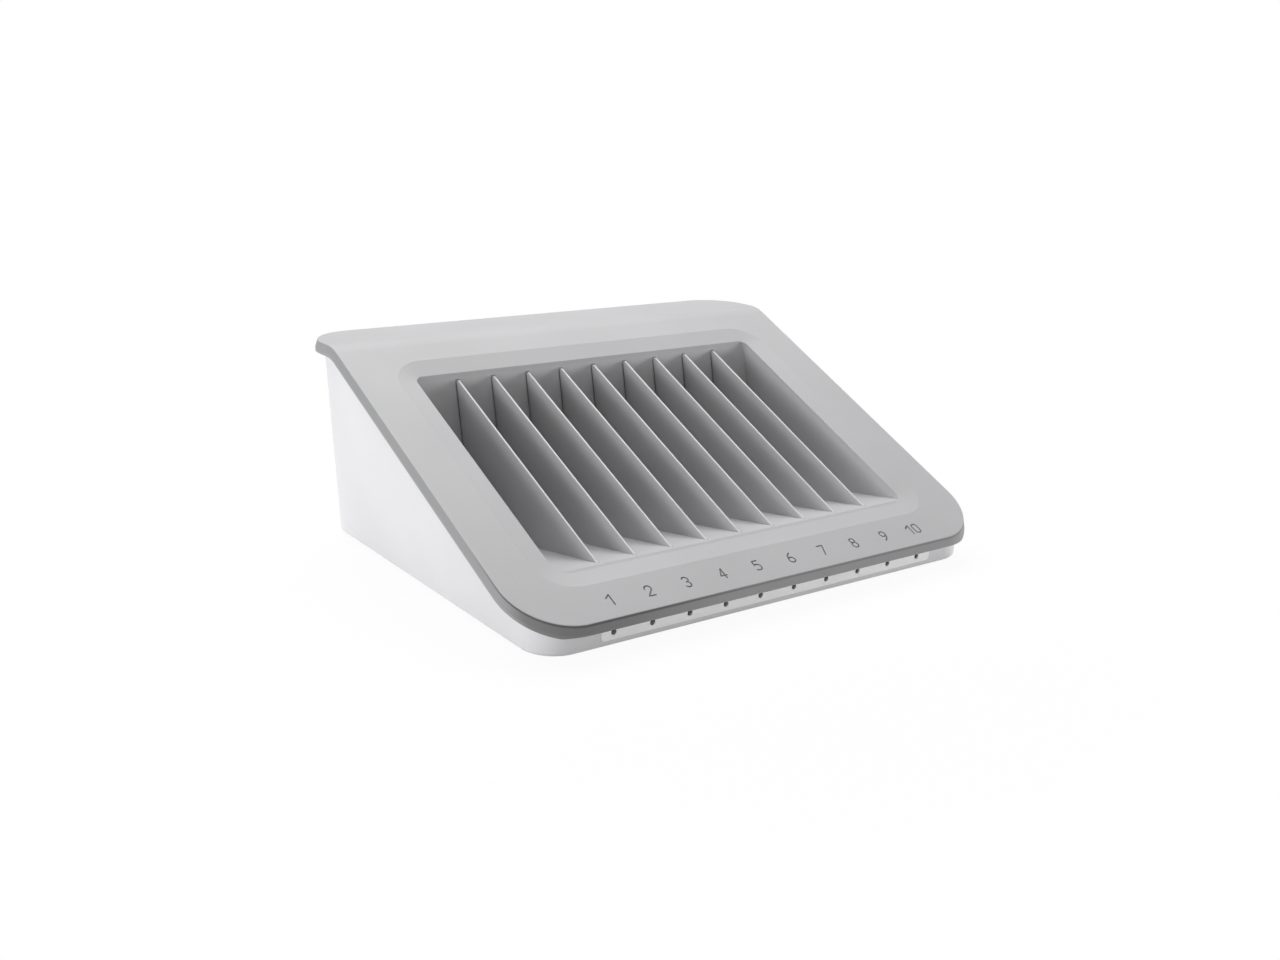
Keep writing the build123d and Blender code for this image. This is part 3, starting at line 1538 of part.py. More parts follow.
inlet_screw = screw(
    inlet_screw_head_radius, inlet_screw_head_height, inlet_screw_radius, inlet_screw_length
)
inlet_face = rear_wall.offset(inlet_flange_thickness)
inlet_screws = group(
    "inlet_screws",
    [
        Location(
            Plane(
                origin=inlet_face.from_local_coords((x, rise, 0)),
                x_dir=(1, 0, 0),
                z_dir=inlet_face.z_dir,
            )
        )
        for x, rise in inlet_screw_places
    ],
    inlet_screw,
)
export_step(inlet_screws, "parts/inlet_screws.step")

comb_screw = screw(
    comb_screw_head_radius, comb_screw_head_height, comb_screw_radius, comb_depth + comb_screw_length
)
comb_face = tray_back.offset(-comb_depth)
comb_screws = group(
    "comb_screws",
    [
        Location(
            Plane(
                origin=comb_face.from_local_coords((x, rise, 0)),
                x_dir=(1, 0, 0),
                z_dir=-comb_face.z_dir,
            )
        )
        for x, rise in comb_places
    ],
    comb_screw,
)
export_step(comb_screws, "parts/comb_screws.step")
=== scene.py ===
"""Dresses a desk-top charging station with ten upright slots: finishes, lamp lenses and a studio stage.

All lengths are in metres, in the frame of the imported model: +X right, +Y to the back, +Z up.
"""

import math

import bpy
import numpy as np
from bpy.props import FloatProperty, FloatVectorProperty, IntProperty, PointerProperty
from mathutils import Matrix, Vector


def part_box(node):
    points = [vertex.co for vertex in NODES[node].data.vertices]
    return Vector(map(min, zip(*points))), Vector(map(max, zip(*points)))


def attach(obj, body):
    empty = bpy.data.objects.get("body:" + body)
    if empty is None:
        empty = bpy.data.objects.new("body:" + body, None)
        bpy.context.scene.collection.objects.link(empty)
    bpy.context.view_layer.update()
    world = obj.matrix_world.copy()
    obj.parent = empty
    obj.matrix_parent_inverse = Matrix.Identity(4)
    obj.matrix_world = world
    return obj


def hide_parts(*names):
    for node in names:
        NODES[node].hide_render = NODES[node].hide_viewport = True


bl_info = {
    "name": "Charging Station",
    "version": (1, 0, 0),
    "blender": (4, 5, 0),
    "location": "View3D > Sidebar > Station",
    "description": "Finishes, lamp lenses and a studio stage for a ten-slot charging station",
    "category": "Object",
}

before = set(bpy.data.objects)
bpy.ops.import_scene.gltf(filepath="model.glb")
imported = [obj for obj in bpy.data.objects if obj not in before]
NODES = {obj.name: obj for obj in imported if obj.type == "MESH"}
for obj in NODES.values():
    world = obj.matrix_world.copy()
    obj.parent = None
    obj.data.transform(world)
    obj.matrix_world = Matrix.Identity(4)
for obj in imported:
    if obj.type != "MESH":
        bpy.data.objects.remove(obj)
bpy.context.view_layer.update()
MM = 0.001
SLOTS = 10
STATION = "station"
# The cover's slope, the height of its front edge and the lean of the base's front wall
SLOPE = math.radians(24.5)
FRONT_HEIGHT = 25.8 * MM
FRONT_LEAN = math.radians(3.0)
# The lean of the tray's rear wall, and how far the dividers' rounded tops reach past their rear corners
TRAY_LEAN = math.radians(11.8)
DIVIDER_CROWN = 3.2 * MM
# Painted shade and painted highlight on places of a piece, each a factor of the piece's own colour
# Painted shade in the bottoms of the pressed numbers
NUMBER_SHADE = 0.44
# Painted shade on the upright skirt round the cover
SKIRT_SHADE = 0.63
# Painted shadow in a thin line under the cover's front edge
CREASE_SHADE = 0.22
# Painted shade where the skirt turns from the left side to the front
CORNER_SHADE = 0.40
# Painted highlight on the dividers' upper edges
EDGE_HIGHLIGHT = 1.4
# Painted shadow on the dividers' rear ends, against the tray's rear wall
GAP_SHADE = 0.3
# Where the numbers with painted shade in their bottoms lie: from and to on the way up the slope, and their
# furthest reach from the middle
NUMBER_ROW = (11 * MM, 27 * MM)
NUMBER_REACH = 0.18
# Bounds of the painted shade on the skirt: outside the first from the middle, or this near the front, or
# behind the third
SKIRT_SIDE = 0.2
SKIRT_FRONT = 12 * MM
SKIRT_BACK = 0.15
# The thin painted shadow line along the skirt's upper edge: outside the first from the middle, or this near
# the front
CREASE_SIDE = 0.205
CREASE_FRONT = 10 * MM
# The mould's spark-eroded grain: the distance between its pits, the size of its finer noise, the share
# of the pits, and how far the colour strays both ways
GRAIN_PIT = 0.42 * MM
GRAIN_NOISE = 0.34 * MM
GRAIN_SHARE = 0.6
MOTTLE = 0.025
# How much finer a drawn metal surface is along each axis
DRAWN = (1.0, 0.06, 1.0)
DUST = (0.16, 0.16, 0.16)
SOLDER = (0.68, 0.66, 0.60)
TRACK_PITCH = (2.2 * MM, 1.7 * MM)
# The camera solved from the straight edges of the photographed object
CAMERA_LENS = 38.46
CAMERA_PLACE = (-0.67104, -0.91444, 0.39066)
CAMERA_RIGHT = (0.81243, -0.58236, 0.02857)
CAMERA_FORWARD = (0.56517, 0.77449, -0.28416)
# Each studio lamp: its place, the point that it aims at, and its width and height
LAMPS = {
    "overhead_right": ((0.40, 0.75, 1.45), (0, 0, 0.1), (1.6, 1.2)),
    "overhead_left": ((-0.15, 0.8, 1.5), (0, 0, 0.1), (1.6, 1.2)),
    "left": ((-2.4, -0.1, 0.62), (0, 0, 0.1), (1.6, 1.2)),
    "low_left": ((-1.6, 0.0, 0.28), (0, 0, 0.06), (1.6, 0.5)),
    "low_right": ((1.3, -0.6, 0.16), (0.2, -0.15, 0.03), (0.9, 0.24)),
}
# The small slant round a lens's back, and the rings of its dome
LENS_EDGE = 0.2 * MM
LENS_STEPS = 9
FLOOR_STEPS = 9


# Shader arithmetic


class Field:
    """A shader value or colour. Sums and products of fields add the nodes that work them out."""

    def __init__(self, graph, socket):
        self.graph = graph
        self.socket = socket

    def _math(self, operation, *values):
        return self.graph.node("ShaderNodeMath", {"operation": operation}, dict(enumerate(values)))

    def __add__(self, other):
        return self._math("ADD", self, other)

    def __radd__(self, other):
        return self._math("ADD", other, self)

    def __sub__(self, other):
        return self._math("SUBTRACT", self, other)

    def __rsub__(self, other):
        return self._math("SUBTRACT", other, self)

    def __mul__(self, other):
        return self._math("MULTIPLY", self, other)

    def __rmul__(self, other):
        return self._math("MULTIPLY", other, self)

    def absolute(self):
        return self._math("ABSOLUTE", self)

    def sine(self):
        return self._math("SINE", self)

    def above(self, level):
        """1 where the field is above the level, else 0."""
        return self._math("GREATER_THAN", self, level)

    def largest(self, other):
        return self._math("MAXIMUM", self, other)

    def ramp(self, low, high, to_low=0.0, to_high=1.0):
        """The field carried smoothly from low..high onto to_low..to_high, and held at both ends."""
        return self.graph.node(
            "ShaderNodeMapRange",
            {"interpolation_type": "SMOOTHSTEP"},
            {0: self, 1: low, 2: high, 3: to_low, 4: to_high},
        )


class Graph:
    """The node tree of a material or a world, emptied first."""

    def __init__(self, owner):
        self.owner = owner
        owner.use_nodes = True
        self.tree = owner.node_tree
        self.tree.nodes.clear()
        self.place = None

    def node(self, kind, settings=None, inputs=None, output=0):
        """Adds a node: its settings first, then the values or links of its sockets."""
        made = self.tree.nodes.new(kind)
        for key, value in (settings or {}).items():
            setattr(made, key, value)
        for key, value in (inputs or {}).items():
            socket = made.inputs[key]
            if isinstance(value, Field):
                self.tree.links.new(value.socket, socket)
            else:
                if socket.type == "RGBA" and len(value) == 3:
                    value = (*value, 1.0)
                socket.default_value = value
        return Field(self, made.outputs[output]) if len(made.outputs) else None

    def spot(self):
        """Where a point lies on the piece, in metres in the model's frame."""
        if self.place is None:
            self.place = self.node("ShaderNodeTexCoord", output="Object")
        return self.place

    def axis(self, name):
        """One coordinate of the point, X, Y or Z."""
        return self.node("ShaderNodeSeparateXYZ", None, {0: self.spot()}, output=name)

    def noise(self, size, detail=2.0, roughness=0.5, stretch=None):
        """Smooth noise from 0 to 1, with features about as large as size."""
        place = self.spot()
        if stretch:
            place = self.node("ShaderNodeVectorMath", {"operation": "MULTIPLY"}, {0: place, 1: stretch})
        return self.node(
            "ShaderNodeTexNoise",
            {"noise_dimensions": "3D"},
            {"Vector": place, "Scale": 1.0 / size, "Detail": detail, "Roughness": roughness},
        )

    def cells(self, size):
        """Distance to the nearest of the random points that lie about size apart."""
        return self.node(
            "ShaderNodeTexVoronoi", {"feature": "F1"}, {"Vector": self.spot(), "Scale": 1.0 / size}
        )

    def blend(self, share, first, second):
        """The first colour where share is 0, the second where it is 1."""
        return self.node(
            "ShaderNodeMix",
            {"data_type": "RGBA", "blend_type": "MIX"},
            {0: share, 6: first, 7: second},
            output=2,
        )

    def bump(self, height, distance):
        """A normal bent by a height field; distance is the depth in metres of a height of 1."""
        return self.node(
            "ShaderNodeBump", None, {"Strength": 1.0, "Distance": distance, "Height": height}
        )

    def surface(self, **inputs):
        """Ends the tree with a Principled BSDF that has these socket values."""
        names = {
            "color": "Base Color",
            "roughness": "Roughness",
            "metallic": "Metallic",
            "normal": "Normal",
            "coat": "Coat Weight",
            "coat_roughness": "Coat Roughness",
            "specular": "Specular IOR Level",
        }
        shader = self.node(
            "ShaderNodeBsdfPrincipled", None, {names[key]: value for key, value in inputs.items()}
        )
        self.node("ShaderNodeOutputMaterial", None, {"Surface": shader})
        return self.owner


def material_graph(name):
    """The graph of a new material."""
    return Graph(bpy.data.materials.new(name))


def shade(colour, factor):
    """A colour made lighter or darker by a factor."""
    return tuple(min(1.0, channel * factor) for channel in colour[:3])


# Finishes


def moulded(name, colour, roughness=0.5, depth=0.012 * MM, coat=0.0, shades=()):
    """Moulded plastic: a fine spark-eroded grain, faint flow shading and an uneven sheen.

    shades are pairs of painted shade or painted highlight: a function of the graph that says where, and the
    factor of the colour there.
    """
    g = material_graph(name)
    flow = g.noise(90 * MM, 2.0, 0.45)
    speckle = g.noise(1.6 * MM, 2.0, 0.6)
    tone = (flow * 0.7 + speckle * 0.3).ramp(0.3, 0.7)
    color = g.blend(tone, shade(colour, 1 - MOTTLE), shade(colour, 1 + MOTTLE))
    # Painted shade and painted highlight, laid over the colour one after another
    for where, factor in shades:
        color = g.blend(where(g), color, shade(colour, factor))
    fine = g.noise(GRAIN_NOISE, 3.0, 0.65)
    texture = g.cells(GRAIN_PIT) * GRAIN_SHARE + fine * (1 - GRAIN_SHARE)
    sheen = roughness + (g.noise(30 * MM, 3.0) - 0.5) * 0.08 + (speckle - 0.5) * 0.05
    return g.surface(
        color=color,
        roughness=sheen,
        normal=g.bump(texture, depth),
        coat=coat,
        coat_roughness=0.2,
        specular=0.45,
    )


def slope_place(g):
    """A point's depth under the cover's slope, and its way up the slope from the front edge.

    The depth is sin(slope) * back - cos(slope) * up, and the way is cos(slope) * back + sin(slope) * up.
    """
    back = g.axis("Y") - float(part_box("top_cover")[0][1])
    up = g.axis("Z") - FRONT_HEIGHT
    depth = math.sin(SLOPE) * back - math.cos(SLOPE) * up
    return depth, math.cos(SLOPE) * back + math.sin(SLOPE) * up


def pressed_numbers(g):
    """1 in the bottoms of the numbers pressed into the slope, 0 elsewhere: where painted shade darkens the
    numbers.
    """
    depth, along = slope_place(g)
    inside = depth.ramp(0.1 * MM, 0.4 * MM) * (1 - depth.above(0.9 * MM))
    row = along.above(NUMBER_ROW[0]) * (1 - along.above(NUMBER_ROW[1]))
    return inside * row * (1 - g.axis("X").absolute().above(NUMBER_REACH))


def facing(g, name):
    """One component of the surface's normal, X, Y or Z."""
    normal = g.node("ShaderNodeNewGeometry", output="Normal")
    return g.node("ShaderNodeSeparateXYZ", None, {0: normal}, output=name)


def steep_skirt(g):
    """1 on the upright skirt round the cover, 0 on its top and inside the rim: where painted shade darkens
    the skirt.
    """
    upright = 1 - facing(g, "Z").ramp(0.3, 0.6)
    side = g.axis("X").absolute().above(SKIRT_SIDE)
    front = 1 - g.axis("Y").above(float(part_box("top_cover")[0][1]) + SKIRT_FRONT)
    back = g.axis("Y").above(SKIRT_BACK)
    return upright * side.largest(front).largest(back)


def upper_edge(g):
    """1 on the narrow upper edge of a divider, where a painted highlight lightens it."""
    return facing(g, "Z").ramp(0.5, 0.8)


def rear_end(g):
    """1 on the last millimetre of a divider, whose rear edge leans back like the tray's rear wall; there a
    painted shadow darkens it.

    The way to the rear edge is the edge's furthest back - back - tan(lean) * (the edge's top - up).
    """
    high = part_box("divider_1")[1]
    top = float(high[2]) - DIVIDER_CROWN
    ahead = float(high[1]) - g.axis("Y") - math.tan(TRAY_LEAN) * (top - g.axis("Z"))
    return 1 - ahead.ramp(0.6 * MM, 1.5 * MM)


def front_corner(g):
    """1 on the skirt where it turns from the left side to the front, fading out along the front: where
    painted shade darkens the corner.
    """
    turned_away = facing(g, "X").ramp(-0.97, -0.75)
    left = g.axis("X").ramp(-0.19, -0.04, 1.0, 0.0)
    return steep_skirt(g) * turned_away * left * (1 - g.axis("Y").above(0))


def crease_line(g):
    """1 in a thin line of painted shadow under the cover's front edge, fading out up the sides and to the
    right.
    """
    depth, along = slope_place(g)
    line = depth.ramp(0.3 * MM, 0.6 * MM) * (1 - depth.ramp(1.3 * MM, 1.9 * MM))
    outside = g.axis("X").absolute().above(CREASE_SIDE).largest(1 - along.above(CREASE_FRONT))
    rightwards = g.axis("X").ramp(-0.16, 0.0, 1.0, 0.4)
    return line * outside * (1 - along.ramp(20 * MM, 110 * MM)) * rightwards


def rubber(name, colour):
    """Soft rubber: matt, slightly dusty, with a fine pebble."""
    g = material_graph(name)
    dust = g.noise(7 * MM, 4.0, 0.6).ramp(0.45, 0.8)
    color = g.blend(dust * 0.35, colour, DUST)
    texture = g.noise(0.5 * MM, 3.0, 0.7)
    return g.surface(color=color, roughness=0.78 + dust * 0.1, normal=g.bump(texture, 0.04 * MM))


def plated(name, colour, roughness):
    """Plated or bare metal, with a faint drawn grain and a few dull patches."""
    g = material_graph(name)
    lines = g.noise(0.35 * MM, 3.0, 0.6, DRAWN)
    haze = g.noise(9 * MM, 3.0, 0.5).ramp(0.4, 0.75)
    color = g.blend(haze * 0.5, colour, shade(colour, 0.86))
    rough = roughness + (lines - 0.5) * 0.16 + haze * 0.08
    return g.surface(color=color, metallic=1.0, roughness=rough, normal=g.bump(lines, 0.006 * MM))


def circuit(name, colour):
    """A circuit board: green resist over tracks that run both ways, with soldered pads."""
    g = material_graph(name)
    across = (g.axis("X") * (math.pi / TRACK_PITCH[0])).sine().absolute()
    along = (g.axis("Y") * (math.pi / TRACK_PITCH[1])).sine().absolute()
    patch = g.noise(9 * MM, 0.0).ramp(0.47, 0.53)
    track = (across.ramp(0.86, 0.95) * patch).largest(along.ramp(0.86, 0.95) * (1 - patch))
    pads = 1 - g.cells(6.5 * MM).ramp(0.10, 0.14)
    color = g.blend(track, colour, shade(colour, 1.9))
    color = g.blend(pads, color, SOLDER)
    return g.surface(
        color=color, roughness=0.34 + track * 0.1, normal=g.bump(track, 0.03 * MM), coat=0.3
    )


def sleeve(name, colour):
    """The sleeve of a lead: satin, drawn lengthwise, with a faint wave."""
    g = material_graph(name)
    color = g.blend(g.noise(12 * MM, 3.0).ramp(0.4, 0.7), colour, shade(colour, 1.35))
    return g.surface(color=color, roughness=0.42, normal=g.bump(g.noise(0.9 * MM), 0.03 * MM))


# Painted shade on the cover: where, and how dark, in the order in which one goes over another
COVER_SHADES = (
    (steep_skirt, SKIRT_SHADE),
    (front_corner, CORNER_SHADE),
    (pressed_numbers, NUMBER_SHADE),
    (crease_line, CREASE_SHADE),
)


# Surfaces


def grid_faces(rows, columns, closed=False):
    """Faces between the neighbouring points of a grid; a closed grid joins its last column to its first."""
    number = np.arange(rows * columns).reshape(rows, columns)
    beside = np.roll(number, -1, axis=1)
    if not closed:
        number, beside = number[:, :-1], beside[:, :-1]
    return np.stack([number[:-1], beside[:-1], beside[1:], number[1:]], axis=-1).reshape(-1, 4)


def turned(profile, centre, axis, start, sides):
    """A profile of (radius, height) pairs, from pole to pole, turned once round an axis.

    Point = centre + height * axis + radius * (cos a * start + sin a * side), for a from 0 to a turn.
    """
    side = np.cross(axis, start)
    angle = np.linspace(0, 2 * math.pi, sides, endpoint=False)[None, :, None]
    radius, height = np.array(profile).T[:, :, None, None]
    ring = np.cos(angle) * start + np.sin(angle) * side
    rows = (centre + height * axis + radius * ring)[1:-1]
    poles = [centre + profile[0][1] * axis, centre + profile[-1][1] * axis]
    points = np.concatenate([rows.reshape(-1, 3), poles])
    number = np.arange(len(rows) * sides).reshape(len(rows), sides)
    low, high = np.full(sides, number.size), np.full(sides, number.size + 1)
    fans = [
        np.stack([low, np.roll(number[0], -1), number[0]], axis=-1),
        np.stack([high, number[-1], np.roll(number[-1], -1)], axis=-1),
    ]
    return points, grid_faces(len(rows), sides, closed=True), *fans


def joined(name, shells):
    """One smooth-shaded object from several shells, each its points and then one or more sets of faces."""
    points, faces, start = [], [], 0
    for shell_points, *face_sets in shells:
        points.append(shell_points)
        faces += [face for group in face_sets for face in (group + start).tolist()]
        start += len(shell_points)
    mesh = bpy.data.meshes.new(name)
    mesh.from_pydata(np.concatenate(points).tolist(), [], faces)
    mesh.validate()
    mesh.shade_smooth()
    made = bpy.data.objects.new(name, mesh)
    bpy.context.scene.collection.objects.link(made)
    return made


def finish_nodes(material, *names):
    """Gives CAD nodes this material in all their slots."""
    for name in names:
        slots = NODES[name].data.materials
        slots.clear()
        slots.append(material)


# Sizes and colours that a user would change


def colour_property(name, description, default):
    return FloatVectorProperty(
        name=name, description=description, subtype="COLOR", size=3, min=0, max=1, default=default
    )


class StationFinish(bpy.types.PropertyGroup):
    cover: colour_property("Cover", "Colour of the sloped cover", (0.50, 0.50, 0.51))
    base: colour_property("Base", "Colour of the tapered base and its door", (0.715, 0.715, 0.728))
    tray: colour_property("Tray", "Colour of the slot tray", (0.52, 0.52, 0.53))
    dividers: colour_property("Dividers", "Colour of the dividers", (0.49, 0.49, 0.50))
    bar: colour_property("Light bar", "Colour of the bar in front", (0.98, 0.98, 0.98))
    lens: colour_property("Lens", "Colour of the smoked lenses", (0.012, 0.012, 0.014))
    dark: colour_property("Dark plastic", "Colour of the hub, inlet and switch", (0.025, 0.025, 0.027))
    board: colour_property("Boards", "Colour of the circuit boards", (0.012, 0.10, 0.045))


class StationSizes(bpy.types.PropertyGroup):
    lens_dome: FloatProperty(
        name="Lens dome",
        description="How far a lens swells outwards",
        default=1.5 * MM,
        unit="LENGTH",
        precision=5,
    )
    lens_sides: IntProperty(name="Lens sides", description="Steps round a lens", default=48, min=12)


class StationStage(bpy.types.PropertyGroup):
    overhead_right: FloatProperty(
        name="Overhead right", description="Power of the right overhead lamp", default=18.7
    )
    overhead_left: FloatProperty(
        name="Overhead left", description="Power of the left overhead lamp", default=9.2
    )
    left: FloatProperty(name="Left", description="Power of the lamp on the left", default=18.6)
    low_left: FloatProperty(
        name="Low left", description="Power of the lamp near the floor on the left", default=4.8
    )
    low_right: FloatProperty(
        name="Low right", description="Power of the lamp near the floor on the right", default=9.2
    )
    sky: FloatProperty(name="Sky", description="Strength of the even light all round", default=0.285)
    shadow: FloatProperty(
        name="Shadow", description="How much of the floor's own shade the camera sees", default=0.06
    )
    floor_size: FloatProperty(
        name="Floor size", description="Width of the floor", default=30.0, unit="LENGTH"
    )


# Pieces


class STATION_OT_shells(bpy.types.Operator):
    """Finish the cover, the base, the door, the tray and the dividers, with painted shade on the cover and
    painted shade and highlight on the dividers
    """

    bl_idname = "station.shells"
    bl_label = "Shells"

    def execute(self, context):
        finish = context.scene.station_finish
        finish_nodes(moulded("cover satin", finish.cover, 0.54, shades=COVER_SHADES), "top_cover")
        finish_nodes(moulded("base satin", finish.base, 0.5), "base_tub", "rear_door")
        finish_nodes(moulded("tray satin", finish.tray, 0.5), "slot_tray", "cable_comb")
        dividers = [f"divider_{i + 1}" for i in range(SLOTS - 1)]
        # Painted highlight on the dividers' upper edges and painted shadow on their rear ends
        ends = ((upper_edge, EDGE_HIGHLIGHT), (rear_end, GAP_SHADE))
        finish_nodes(moulded("divider satin", finish.dividers, 0.5, shades=ends), *dividers)
        feet = [f"foot_{end}_{side}" for end in ("front", "rear") for side in ("left", "right")]
        finish_nodes(rubber("foot rubber", (0.03, 0.03, 0.03)), *feet)
        return {"FINISHED"}


class STATION_OT_lamps(bpy.types.Operator):
    """Finish the light bar and set a domed lens in each of its holes"""

    bl_idname = "station.lamps"
    bl_label = "Lamps"

    def execute(self, context):
        finish = context.scene.station_finish
        gloss = moulded("lens gloss", finish.lens, 0.12, depth=0.0, coat=0.6)
        self.lenses(context.scene.station_sizes).data.materials.append(gloss)
        finish_nodes(moulded("bar satin", finish.bar, 0.4), "light_bar")
        finish_nodes(moulded("lamp body", (0.85, 0.80, 0.55), 0.2), "led_chips")
        finish_nodes(circuit("lamp board", finish.board), "led_board")
        return {"FINISHED"}

    def lenses(self, sizes):
        """One domed lens on the place of each flat lens of the model.

        The box of the leaning discs gives their radius and thickness, as its depth is t cos + 2 r sin of
        the lean and its height 2 r cos + t sin. The dome is a quarter ellipse turned round the axis.
        """
        low, high = (np.array(corner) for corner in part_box("led_lenses"))
        depth, height = (high - low)[1:]
        lean_sin, lean_cos = math.sin(FRONT_LEAN), math.cos(FRONT_LEAN)
        spread = lean_cos**2 - lean_sin**2
        thickness = (depth * lean_cos - height * lean_sin) / spread
        radius = (height * lean_cos - depth * lean_sin) / spread / 2
        outwards, upwards = np.array([0, -lean_cos, -lean_sin]), np.array([0, -lean_sin, lean_cos])
        swell = np.linspace(0, math.pi / 2, LENS_STEPS)
        dome = np.stack([radius * np.cos(swell), sizes.lens_dome * np.sin(swell)], axis=-1)
        profile = [(0, -thickness), (radius - LENS_EDGE, -thickness), (radius, -thickness + LENS_EDGE)]
        profile += dome[:-1].tolist() + [(0, sizes.lens_dome)]
        centre = (low + high) / 2 + outwards * thickness / 2
        shells = []
        for x in np.linspace(low[0] + radius, high[0] - radius, SLOTS):
            shells.append(turned(profile, (x, *centre[1:]), outwards, upwards, sizes.lens_sides))
        made = joined("lamp_lenses", shells)
        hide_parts("led_lenses")
        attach(made, STATION)
        return made


class STATION_OT_hub(bpy.types.Operator):
    """Finish the charging hub and the power supply"""

    bl_idname = "station.hub"
    bl_label = "Hub and supply"

    def execute(self, context):
        finish = context.scene.station_finish
        finish_nodes(
            moulded("hub case", finish.dark, 0.52), "hub_case", "hub_lid", "lead_clips"
        )
        finish_nodes(circuit("hub boards", finish.board), "hub_board", "supply_board")
        finish_nodes(
            moulded("chips", (0.02, 0.02, 0.02), 0.4), "port_controllers", "supply_transformer"
        )
        finish_nodes(sleeve("capacitor sleeve", (0.012, 0.016, 0.05)), "supply_capacitors")
        finish_nodes(plated("port shell", (0.72, 0.72, 0.73), 0.2), "usb_ports")
        finish_nodes(plated("heat sink", (0.78, 0.78, 0.79), 0.36), "hub_heat_sink")
        finish_nodes(
            plated("zinc sheet", (0.60, 0.62, 0.64), 0.34), "supply_chassis", "supply_cover"
        )
        finish_nodes(sleeve("lead sleeve", (0.02, 0.02, 0.02)), "mains_leads", "dc_lead", "led_lead")
        return {"FINISHED"}


class STATION_OT_mains(bpy.types.Operator):
    """Finish the mains inlet, the rocker switch and all screws and pins"""

    bl_idname = "station.mains"
    bl_label = "Inlet, switch and screws"

    def execute(self, context):
        finish = context.scene.station_finish
        finish_nodes(moulded("inlet body", finish.dark, 0.45), "power_inlet", "switch_housing")
        finish_nodes(moulded("rocker gloss", finish.dark, 0.2, depth=0.0, coat=0.4), "switch_rocker")
        finish_nodes(plated("blades", (0.78, 0.62, 0.34), 0.22), "inlet_blades", "switch_tabs")
        screws = [name for name in NODES if name.endswith("_screws")]
        finish_nodes(plated("screw steel", (0.55, 0.55, 0.56), 0.3), "rocker_pin", "door_pins", *screws)
        return {"FINISHED"}


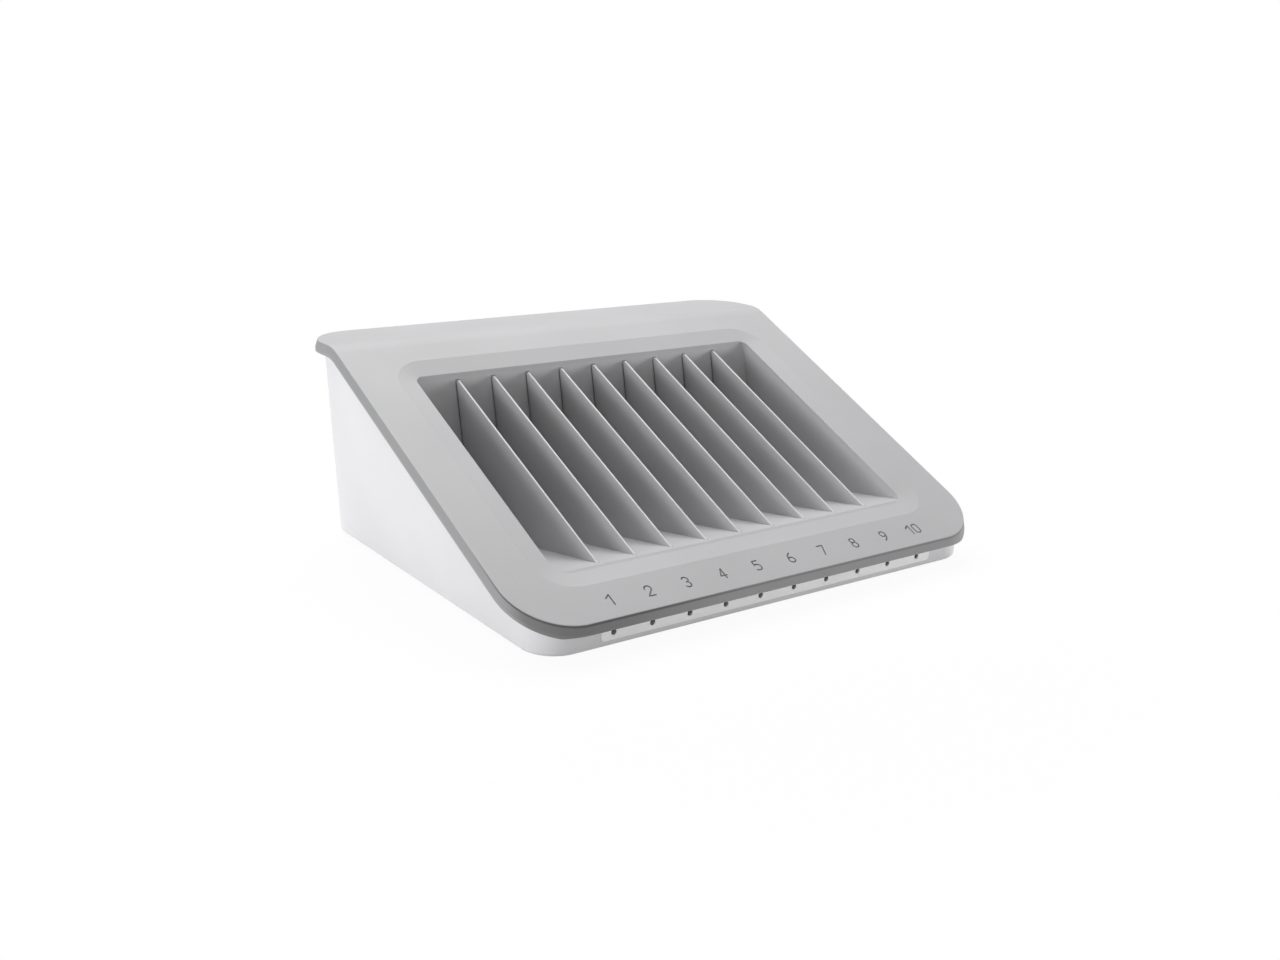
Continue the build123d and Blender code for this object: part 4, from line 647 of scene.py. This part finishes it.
class STATION_OT_stage(bpy.types.Operator):
    """Set up the floor, the lamps, the sky and the camera"""

    bl_idname = "station.stage"
    bl_label = "Stage"

    def execute(self, context):
        stage = context.scene.station_stage
        self.floor(stage)
        self.sky(context.scene, stage)
        for name, (place, target, size) in LAMPS.items():
            self.lamp(name, place, target, size, getattr(stage, name))
        self.camera(context.scene)
        return {"FINISHED"}

    def floor(self, stage):
        """A white floor: the camera and glossy rays see it white, with a faint shadow by the object."""
        edge = np.linspace(-stage.floor_size / 2, stage.floor_size / 2, FLOOR_STEPS)
        x, y = np.meshgrid(edge, edge)
        points = np.stack([x, y, np.zeros_like(x)], axis=-1).reshape(-1, 3)
        made = joined("floor", [(points, grid_faces(FLOOR_STEPS, FLOOR_STEPS))])
        g = material_graph("white floor")
        away = g.node("ShaderNodeVectorMath", {"operation": "LENGTH"}, {0: g.spot()}, output=1)
        white = 1 - stage.shadow * (1 - away.ramp(0.3, 0.7))
        diffuse = g.node("ShaderNodeBsdfDiffuse", None, {"Color": (0.92, 0.92, 0.92)})
        glow = g.node("ShaderNodeEmission", None, {"Color": (1, 1, 1), "Strength": 1.0})
        seen = self.seen_rays(g, "Is Camera Ray", "Is Glossy Ray", "Is Transmission Ray")
        mixed = g.node("ShaderNodeMixShader", None, {0: seen * white, 1: diffuse, 2: glow})
        g.node("ShaderNodeOutputMaterial", None, {"Surface": mixed})
        made.data.materials.append(g.owner)

    def sky(self, scene, stage):
        """Even light all round, which the camera sees as white."""
        scene.world = bpy.data.worlds.new("sky")
        g = Graph(scene.world)
        seen = self.seen_rays(g, "Is Camera Ray", "Is Transmission Ray")
        even = g.node("ShaderNodeBackground", None, {"Color": (1, 1, 1), "Strength": stage.sky})
        white = g.node("ShaderNodeBackground", None, {"Color": (1, 1, 1), "Strength": 1.0})
        mixed = g.node("ShaderNodeMixShader", None, {0: seen, 1: even, 2: white})
        g.node("ShaderNodeOutputWorld", None, {"Surface": mixed})

    @staticmethod
    def seen_rays(g, first, *others):
        """1 for any of these kinds of ray."""
        seen = g.node("ShaderNodeLightPath", output=first)
        for kind in others:
            seen = seen.largest(g.node("ShaderNodeLightPath", output=kind))
        return seen

    def lamp(self, name, place, target, size, power):
        light = bpy.data.lights.new(name, "AREA")
        light.shape = "RECTANGLE"
        light.size, light.size_y = size
        light.energy = power
        made = bpy.data.objects.new(name, light)
        made.location = place
        aim = Vector(target) - Vector(place)
        made.rotation_euler = aim.to_track_quat("-Z", "Y").to_euler()
        # The low lamps only fill, as their glare would wash out the cover seen from the far side
        made.visible_glossy = name.startswith("overhead")
        bpy.context.scene.collection.objects.link(made)

    def camera(self, scene):
        """The camera of the photograph, at its own place and turned as it was."""
        view = bpy.data.cameras.new("camera")
        view.sensor_width = 36.0
        view.lens = CAMERA_LENS
        view.clip_end = 100.0
        made = bpy.data.objects.new("camera", view)
        forward = Vector(CAMERA_FORWARD).normalized()
        up = Vector(CAMERA_RIGHT).cross(forward).normalized()
        right = forward.cross(up)
        turn = Matrix((right, up, -forward)).transposed().to_4x4()
        made.matrix_world = Matrix.Translation(CAMERA_PLACE) @ turn
        scene.collection.objects.link(made)
        scene.camera = made


class STATION_PT_panel(bpy.types.Panel):
    bl_label = "Charging Station"
    bl_idname = "STATION_PT_panel"
    bl_space_type = "VIEW_3D"
    bl_region_type = "UI"
    bl_category = "Station"

    def draw(self, context):
        for group in ("station_finish", "station_sizes", "station_stage"):
            settings = getattr(context.scene, group)
            box = self.layout.box()
            for key in type(settings).__annotations__:
                box.prop(settings, key)
        for operator in OPERATORS:
            self.layout.operator(operator.bl_idname)


OPERATORS = (STATION_OT_stage, STATION_OT_shells, STATION_OT_lamps, STATION_OT_hub, STATION_OT_mains)
CLASSES = (StationFinish, StationSizes, StationStage, *OPERATORS, STATION_PT_panel)


def register():
    for item in CLASSES:
        bpy.utils.register_class(item)
    bpy.types.Scene.station_finish = PointerProperty(type=StationFinish)
    bpy.types.Scene.station_sizes = PointerProperty(type=StationSizes)
    bpy.types.Scene.station_stage = PointerProperty(type=StationStage)


def unregister():
    del bpy.types.Scene.station_stage
    del bpy.types.Scene.station_sizes
    del bpy.types.Scene.station_finish
    for item in reversed(CLASSES):
        bpy.utils.unregister_class(item)


def main():
    register()
    bpy.context.scene.view_settings.view_transform = "Standard"
    bpy.ops.station.stage()
    bpy.ops.station.shells()
    bpy.ops.station.lamps()
    bpy.ops.station.hub()
    bpy.ops.station.mains()


if __name__ == "__main__":
    main()
